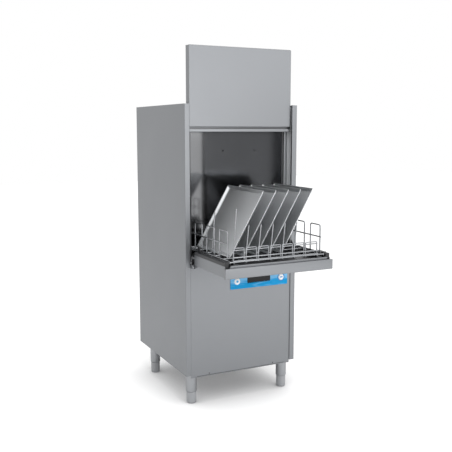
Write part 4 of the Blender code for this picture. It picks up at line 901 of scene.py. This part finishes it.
class WASHER_OT_legs(bpy.types.Operator):
    """Four leg tubes with their plates, and the feet that stand in them"""
    bl_idname = "washer.legs"
    bl_label = "Legs and feet"

    def execute(self, context):
        sizes = context.scene.washer_sizes
        for end in ("front", "back"):
            for side in SIDES:
                self.stand(f"{end}_{side}", sizes.leg_radius, sizes.foot_radius)
        return {'FINISHED'}

    def stand(self, name, tube, foot):
        """Leg and foot, each turned about the same upright line."""
        low, high = extent(f"{name}_leg")
        centre = (low + high) / 2 * (1.0, 1.0, 0.0)
        plate = (high[0] - low[0]) / 2
        base, top = low[2], high[2]
        seat = top - PLATE
        leg = np.vstack([[(tube - LEG_WALL, base)], eased(tube, base, WIDE_EASE),
                         [(tube, seat - PLATE_WELD), (tube + PLATE_WELD, seat)],
                         eased(plate, seat, PLATE_EASE), [(plate, top), (plate - LEG_WALL, top)]])
        piece(f"{name}_leg_tube", [shell(turned(leg, centre, Z_AXIS))], "panel_steel",
              stands_for=f"{name}_leg", finish="belt_ground_stainless_tube")
        top = base - GAP
        shoulder, neck, sole = top - FOOT_NECK, foot - FOOT_NECK, foot - FOOT_CHAMFER
        cup = np.vstack([[(sole - LEG_WALL, 0.0), (sole, 0.0)],
                         eased(foot, FOOT_CHAMFER, FOOT_EASE),
                         [(foot, FOOT_BAND), (foot, shoulder - FOOT_EDGE),
                          (foot - FOOT_EDGE, shoulder), (neck, shoulder), (neck, top),
                          (neck - FOOT_NECK, top)]])
        piece(f"{name}_foot_cup", [shell(turned(cup, centre, Z_AXIS))], "grey_plastic",
              stands_for=f"{name}_foot")


class WASHER_OT_panel_trim(bpy.types.Operator):
    """Rolled lower hem of the front panel, a black strip over it that paints a shadow line, and the
    plugs over its fixings
    """
    bl_idname = "washer.panel_trim"
    bl_label = "Front panel trim"

    def execute(self, context):
        (left, face, foot), (right, _, _) = extent("lower_front_panel")
        back, hem_top = face + HEM_PROUD, foot + HEM
        bar = strip((face - HEM_PROUD, back), (foot, hem_top), HEM_RADII,
                    (left + HEM_SHORT, right - HEM_SHORT), GAP, along_x)
        piece("panel_hem", [bar], "panel_steel")
        # Black rubber strip just over the hem: a painted shadow line
        bar = strip((face - SHADOW_LINE / 2, back), (hem_top, hem_top + SHADOW_LINE), SHADOW_LINE / 5,
                    (left + SHADOW_LINE_SHORT, right - SHADOW_LINE_SHORT), HAIR, along_x, 3)
        piece("hem_seam", [bar], "black_rubber")
        crown = face - FIXING_PROUD
        base = crown + 1.5 * FIXING_CROWN
        profile = np.vstack([eased(FIXING, crown, FIXING - FIXING_CROWN, FIXING_CROWN),
                             [(FIXING, base), (FIXING / 3, base)]])
        for side in SIDES:
            centre = (SIGN[side] * FIXING_X, 0.0, foot + FIXING_RISE)
            piece(f"{side}_fixing_plug", [shell(turned(profile, centre, Y_AXIS, 24))],
                  "black_plastic")
        return {'FINISHED'}


class WASHER_OT_controls(bpy.types.Operator):
    """Display lens, the two buttons and the rings printed round them"""
    bl_idname = "washer.controls"
    bl_label = "Controls"

    def execute(self, context):
        low, high = extent("display_window")
        low[2] -= LENS_LAP
        high[2] += LENS_LAP / 2
        front, back = low[1], high[1]
        profile = np.vstack([[(LENS_LAND, back), (0.0, back)],
                             quarter((0.0, front + LENS_EASE), (LENS_EASE, front)),
                             [(2 * LENS_EASE, front), (LENS_LAND, front)]])
        lens = pressed(low[::2], high[::2], LENS_CORNER, profile, to_front)
        piece("display_lens", [shell(lens)], "display", stands_for="display_window")
        self.button("start", START_RING)
        self.button("program", PROGRAM_RING)
        self.mark("start", START_MARK, "pale_blue_pad_print")
        self.mark("program", PROGRAM_MARK, "blue_pad_print")
        self.ring("program_surround", "program_button", PROGRAM_RING, PROGRAM_SURROUND,
                  "blue_pad_print")
        return {'FINISHED'}

    def button(self, name, reach):
        """Cap turned about the press line, dished a little, and the white ring round it."""
        node = f"{name}_button"
        low, high = extent(node)
        cap = (high[0] - low[0]) / 2
        front, back, skirt = low[1], high[1], low[1] + CAP_SKIRT
        profile = np.vstack([(0.0, front) + np.array(CAP_DISH), [(cap - 3 * CAP_EASE, front)],
                             eased(cap, front, CAP_EASE),
                             [(cap, skirt), (CAP_STEM, skirt), (CAP_STEM, back),
                              (CAP_BORE, back)]])
        form = shell(turned(profile, (low + high) / 2 * (1.0, 0.0, 1.0), Y_AXIS))
        piece(f"{name}_cap", [form], "white_plastic", f"{name}_key", node)
        self.ring(f"{name}_ring", node, cap + TIGHT_BEND, reach)

    def mark(self, name, half, finish):
        """Flat printed sign on a cap: a rounded plate of a fraction of a millimetre."""
        low, high = extent(f"{name}_button")
        middle = (low + high)[::2] / 2
        profile = (0.0, low[1]) + np.array(MARK_PROFILE)
        plate = pressed(middle - half, middle + half, min(half) - MARK_FLAT, profile, to_front)
        piece(f"{name}_mark", [shell(plate)], "white_plastic", f"{name}_key", finish=finish)

    def ring(self, name, node, inner, outer, finish=None):
        """Flat ring printed on the film round a button."""
        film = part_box("control_fascia")[0][1]
        top, edge, back = film - RING_PROUD, film - RING_PROUD / 2, film + RING_PROUD
        profile = ((inner, edge), (inner + GAP, top), (outer - GAP, top), (outer, edge),
                   (outer, back), (inner, back))
        centre = extent(node).mean(axis=0) * (1.0, 0.0, 1.0)
        piece(name, [ring_shell(turned(profile, centre, Y_AXIS))], "white_plastic", finish=finish)


class WASHER_OT_rack(bpy.types.Operator):
    """Welded wires of the rack: floor grid, combs and side fences"""
    bl_idname = "washer.rack"
    bl_label = "Rack"

    def execute(self, context):
        sizes = context.scene.washer_sizes
        thick, thin, lean = sizes.wire_radius, sizes.thin_wire_radius, sizes.comb_lean
        low, high = extent("rack_base_grid")
        half = high[0]
        places = COMB_FIRST + COMB_PITCH * np.arange(COMB_COUNT)
        level = low[2] + thick
        wires = [wire(((x, low[1], level), (x, high[1], level)), thick, Z_AXIS)
                 for x in (-half + thick, *places, half - thick)]
        rows = np.linspace(low[1] + thick, high[1] - thick, CROSS_WIRES)
        upper = level + 2 * thick - WELD_SINK
        wires += [wire(((-half, y, upper), (half, y, upper)), thick, Z_AXIS) for y in rows]
        stand = low[1] + SIDE_POST
        wires.append(wire(((places[0], stand, level), (places[0] + lean, stand, high[2])), thin,
                          Y_AXIS))
        self.weld("rack_grid", wires, "rack_base_grid")
        self.front_comb(places, rows[0], thick, thin, lean)
        self.rear_comb(thick, thin)
        for side in SIDES:
            self.fence(side, thick)
        return {'FINISHED'}

    def weld(self, name, wires, node):
        piece(name, wires, "wire_steel", "loaded_rack", node, sharp=WIRE_SHARP_DEG)

    def front_comb(self, places, front, thick, thin, lean):
        """Two level rails, low double loops between places and tall dividers that lean right."""
        low, high = extent("rack_front_comb")[:, 2]
        base = low + thin
        behind = front + 2 * thin - COMB_SINK
        ends = (places[0] - 2 * thick, places[-1] + 2 * thick)
        wires = [wire([(x, front, base + rise) for x in ends], thick, Z_AXIS)
                 for rise in COMB_RAILS]
        tops = [high] + [base + COMB_HIGH] * (COMB_COUNT - 3)
        wires += [wire(((x, behind, base), (x + lean, behind, top)), thin, Y_AXIS)
                  for x, top in zip(places - COMB_SHIFT, tops)]
        rights = np.append(places[1:-1] - LOOP_STEP, places[-1])
        bar = LOOP_TOP - LOOP_STEP
        for left, right in zip(places, rights):
            loop = ((left, behind, base), (left, behind, LOOP_TOP), (right, behind, LOOP_TOP),
                    (right, behind, base))
            wires.append(wire(bent_path(loop, LOOP_BEND), thin, Y_AXIS))
            wires.append(wire(((left, behind, bar), (right, behind, bar)), thin, Y_AXIS))
        self.weld("front_comb", wires, "rack_front_comb")

    def rear_comb(self, thick, thin):
        """One level wire that carries the trays and five dividers that they lean on."""
        low, high = extent("rack_rear_comb")
        level = low[2] + thick - GAP
        place, top = (low[1] + high[1]) / 2, high[2]
        wires = [wire(((low[0], place, level), (high[0], place, level)), thick, Z_AXIS)]
        for number in range(1, TRAY_COUNT + 1):
            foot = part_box(f"tray_{number}")[0]
            under = foot[0] + (top - foot[2]) * math.tan(TRAY_LEAN) + TRAY_BACK
            x = under + thin / math.cos(TRAY_LEAN) + thin + DIVIDER_GAP
            wires.append(wire(((x, place, level), (x, place, top)), thin, Y_AXIS))
        self.weld("rear_comb", wires, "rack_rear_comb")

    def fence(self, side, thick):
        """A foot wire, a middle rail and a row of tall bent loops along one side."""
        node = f"rack_{side}_fence"
        low, high = extent(node)
        inner, outer = SIGN[side] * (reach_of(node) + (thick, -thick))
        foot, top = low[2] + thick, high[2] - thick
        wires = [wire(((outer, low[1], z), (outer, high[1], z)), thick, Z_AXIS)
                 for z in (foot, foot + FENCE_RAIL)]
        starts = np.linspace(low[1] + 2 * thick, high[1] - 2 * thick - FENCE_LOOP, FENCE_LOOPS)
        for first in starts:
            last = first + FENCE_LOOP
            loop = ((inner, first, foot), (inner, first, top), (inner, last, top),
                    (inner, last, foot))
            wires.append(wire(bent_path(loop, FENCE_BEND), thick, X_AXIS))
        self.weld(f"{side}_fence", wires, node)


class WASHER_OT_trays(bpy.types.Operator):
    """Five deep-drawn trays that lean in the rack"""
    bl_idname = "washer.trays"
    bl_label = "Trays"

    def execute(self, context):
        corner = context.scene.washer_sizes.tray_corner
        floor, rim = self.sections()
        up = np.array((math.sin(TRAY_LEAN), 0.0, math.cos(TRAY_LEAN)))
        facing = np.array((-math.cos(TRAY_LEAN), 0.0, math.sin(TRAY_LEAN)))
        for number in range(1, TRAY_COUNT + 1):
            node = f"tray_{number}"
            low, high = extent(node)
            start = (low[1] + high[1] - TRAY_SIZE[0]) / 2
            foot = np.array((low[0], start, low[2] + TRAY_LIFT)) + TRAY_LIFT * facing

            def lean(u, v, w):
                return tuple(foot[axis] + u * Y_AXIS[axis] + v * up[axis] + w * facing[axis]
                             for axis in range(3))

            sheet = shell(pressed((0.0, 0.0), TRAY_SIZE, corner, floor, lean))
            piece(f"tray_floor_{number}", [sheet], "tray_steel", "loaded_rack", node)
            # The rim takes the paler rim steel: a painted highlight over its real polish
            band = ring_shell(pressed((0.0, 0.0), TRAY_SIZE, corner, rim, lean))
            piece(f"tray_rim_{number}", [band], "tray_steel", "loaded_rack",
                  finish="polished_rolled_rim")
        return {'FINISHED'}

    def sections(self):
        """Insets and heights of the flat floor, and of the sloping wall with its rolled rim."""
        depth, sheet, rim, run = TRAY_DEPTH, TRAY_SHEET, TRAY_RIM, TRAY_RUN
        wall = run + 0.002
        inside = np.array(((wall, -depth), (run + 0.0006, -depth + 0.0002),
                           (run - 0.0010, -depth + 0.0012), (rim + 0.0014, -0.0016),
                           (rim + 0.0004, -0.0005), (rim - 0.0006, -0.0001), (rim - 0.0014, 0.0),
                           (0.0014, 0.0)))
        angle = np.linspace(0.25, 1.0, 6) * math.pi
        bead = sheet * np.stack([1.0 - np.sin(angle), np.cos(angle) - 1.0], axis=-1)
        outside = inside[:-1][::-1] - (0.0, sheet)
        outside = np.clip(outside, (0.0, -depth - sheet), (1.0, -sheet))
        land = wall + 0.003
        floor = ((land, -depth), (wall, -depth), (wall, -depth - sheet), (land, -depth - sheet))
        return floor, np.vstack([inside, bead, outside])


class WASHER_OT_stage(bpy.types.Operator):
    """Pale floor, white studio, soft lamps and the camera at the picture's angle"""
    bl_idname = "washer.stage"
    bl_label = "Stage, light and camera"

    def execute(self, context):
        scene = context.scene
        scene.view_settings.view_transform = 'Standard'
        self.floor(scene)
        self.world(scene)
        for lamp in LAMPS:
            self.lamp(scene, *lamp)
        self.camera(scene)
        return {'FINISHED'}

    def floor(self, scene):
        """Flat sheet: a grid of x and y at height 0."""
        line = np.linspace(-FLOOR_REACH, FLOOR_REACH, FLOOR_LINES)
        x, y = np.meshgrid(line, line)
        points = np.stack([x, y, np.zeros_like(x)], axis=-1).reshape(-1, 3)
        mesh = bpy.data.meshes.new("studio_floor")
        mesh.from_pydata(points.tolist(), [], quads(FLOOR_LINES, FLOOR_LINES, False).tolist())
        made = bpy.data.objects.new("studio_floor", mesh)
        scene.collection.objects.link(made)
        mesh.materials.append(self.paper((*scene.washer_colours.floor, 1.0)))

    def paper(self, tone):
        """Matt white paper: a painted shadow darkens it close to the object; lifted to white where
        it lies open.
        """
        made = bpy.data.materials.new("matt_white_paper")
        made.use_nodes = True
        tree = made.node_tree
        tree.nodes.clear()
        # Ambient occlusion paints the object's shadow: the paper runs to SHADE_TONE close to the
        # object
        near = add_node(tree, "ShaderNodeAmbientOcclusion", {"Distance": SHADE_REACH},
                        samples=SHADE_SAMPLES)
        clear = add_node(tree, "ShaderNodeMapRange", {
            "Value": near.outputs["AO"], "From Max": SHADE_CLEAR, "To Min": SHADE_LEAST})
        shade = add_node(tree, "ShaderNodeMix", {"Factor": clear, "A": SHADE_TONE, "B": tone},
                         data_type='RGBA')
        matt = add_node(tree, "ShaderNodeBsdfDiffuse", {"Color": shade})
        rays = add_node(tree, "ShaderNodeLightPath").outputs
        mirrored = add_node(tree, "ShaderNodeMath", {0: rays["Is Glossy Ray"], 1: MIRRORED_LIFT},
                            operation='MULTIPLY')
        seen = add_node(tree, "ShaderNodeMath", {0: rays["Is Camera Ray"], 1: mirrored},
                        operation='MAXIMUM')
        # The white lift is held back by the same mask, so that it keeps the painted shadow
        bare = add_node(tree, "ShaderNodeMath", {0: seen, 1: clear}, operation='MULTIPLY')
        lift = add_node(tree, "ShaderNodeMath", {0: bare, 1: FLOOR_LIFT}, operation='MULTIPLY')
        glow = add_node(tree, "ShaderNodeEmission", {"Color": WHITE, "Strength": lift})
        both = add_node(tree, "ShaderNodeAddShader", {0: matt, 1: glow})
        add_node(tree, "ShaderNodeOutputMaterial", {"Surface": both})
        return made

    def world(self, scene):
        """An even pale grey that lights the object, and plain white where camera and metal look."""
        world = bpy.data.worlds.new("white_studio")
        world.use_nodes = True
        tree = world.node_tree
        tree.nodes.clear()
        rays = add_node(tree, "ShaderNodeLightPath").outputs
        seen = rays["Is Camera Ray"]
        for way in ("Is Glossy Ray", "Is Transmission Ray"):
            seen = add_node(tree, "ShaderNodeMath", {0: seen, 1: rays[way]}, operation='MAXIMUM')
        fill, white = (add_node(tree, "ShaderNodeBackground", {"Color": WHITE, "Strength": level})
                       for level in (FILL_STRENGTH, 1.0))
        blend = add_node(tree, "ShaderNodeMixShader", {0: seen, 1: fill, 2: white})
        add_node(tree, "ShaderNodeOutputWorld", {"Surface": blend})
        scene.world = world

    def lamp(self, scene, name, place, aim, size, power):
        light = bpy.data.lights.new(name, 'AREA')
        light.shape = 'RECTANGLE'
        light.size, light.size_y = size
        light.energy = power
        made = bpy.data.objects.new(name, light)
        made.location = place
        heading = Vector(aim) - Vector(place)
        made.rotation_euler = heading.to_track_quat('-Z', 'Y').to_euler()
        made.visible_camera = False
        scene.collection.objects.link(made)

    def camera(self, scene):
        lens = bpy.data.cameras.new("picture_camera")
        lens.lens = CAMERA_LENS_MM
        lens.sensor_width = CAMERA_SENSOR_MM
        made = bpy.data.objects.new("picture_camera", lens)
        made.location = CAMERA_PLACE
        made.rotation_euler = [math.radians(angle) for angle in CAMERA_TURN_DEG]
        scene.collection.objects.link(made)
        scene.camera = made


OPERATORS = (WASHER_OT_finishes, WASHER_OT_upper_door, WASHER_OT_opening_trim,
             WASHER_OT_leaf_handle, WASHER_OT_legs, WASHER_OT_panel_trim, WASHER_OT_controls,
             WASHER_OT_rack, WASHER_OT_trays, WASHER_OT_stage)


class WASHER_PT_build(bpy.types.Panel):
    """Lists the steps that dress the washer, and the settings they read"""
    bl_idname = "WASHER_PT_build"
    bl_label = "Tray washer"
    bl_space_type = 'VIEW_3D'
    bl_region_type = 'UI'
    bl_category = "Washer"

    def draw(self, context):
        column = self.layout.column(align=True)
        for step in OPERATORS:
            column.operator(step.bl_idname)
        for group in (context.scene.washer_sizes, context.scene.washer_colours):
            box = self.layout.box()
            for key in group.__annotations__:
                box.prop(group, key)


CLASSES = (WasherColours, WasherSizes, *OPERATORS, WASHER_PT_build)


def register():
    for entry in CLASSES:
        bpy.utils.register_class(entry)
    bpy.types.Scene.washer_colours = bpy.props.PointerProperty(type=WasherColours)
    bpy.types.Scene.washer_sizes = bpy.props.PointerProperty(type=WasherSizes)


def unregister():
    del bpy.types.Scene.washer_sizes
    del bpy.types.Scene.washer_colours
    for entry in reversed(CLASSES):
        bpy.utils.unregister_class(entry)


def main():
    register()
    for step in OPERATORS:
        group, action = step.bl_idname.split(".")
        getattr(getattr(bpy.ops, group), action)()


if __name__ == "__main__":
    main()
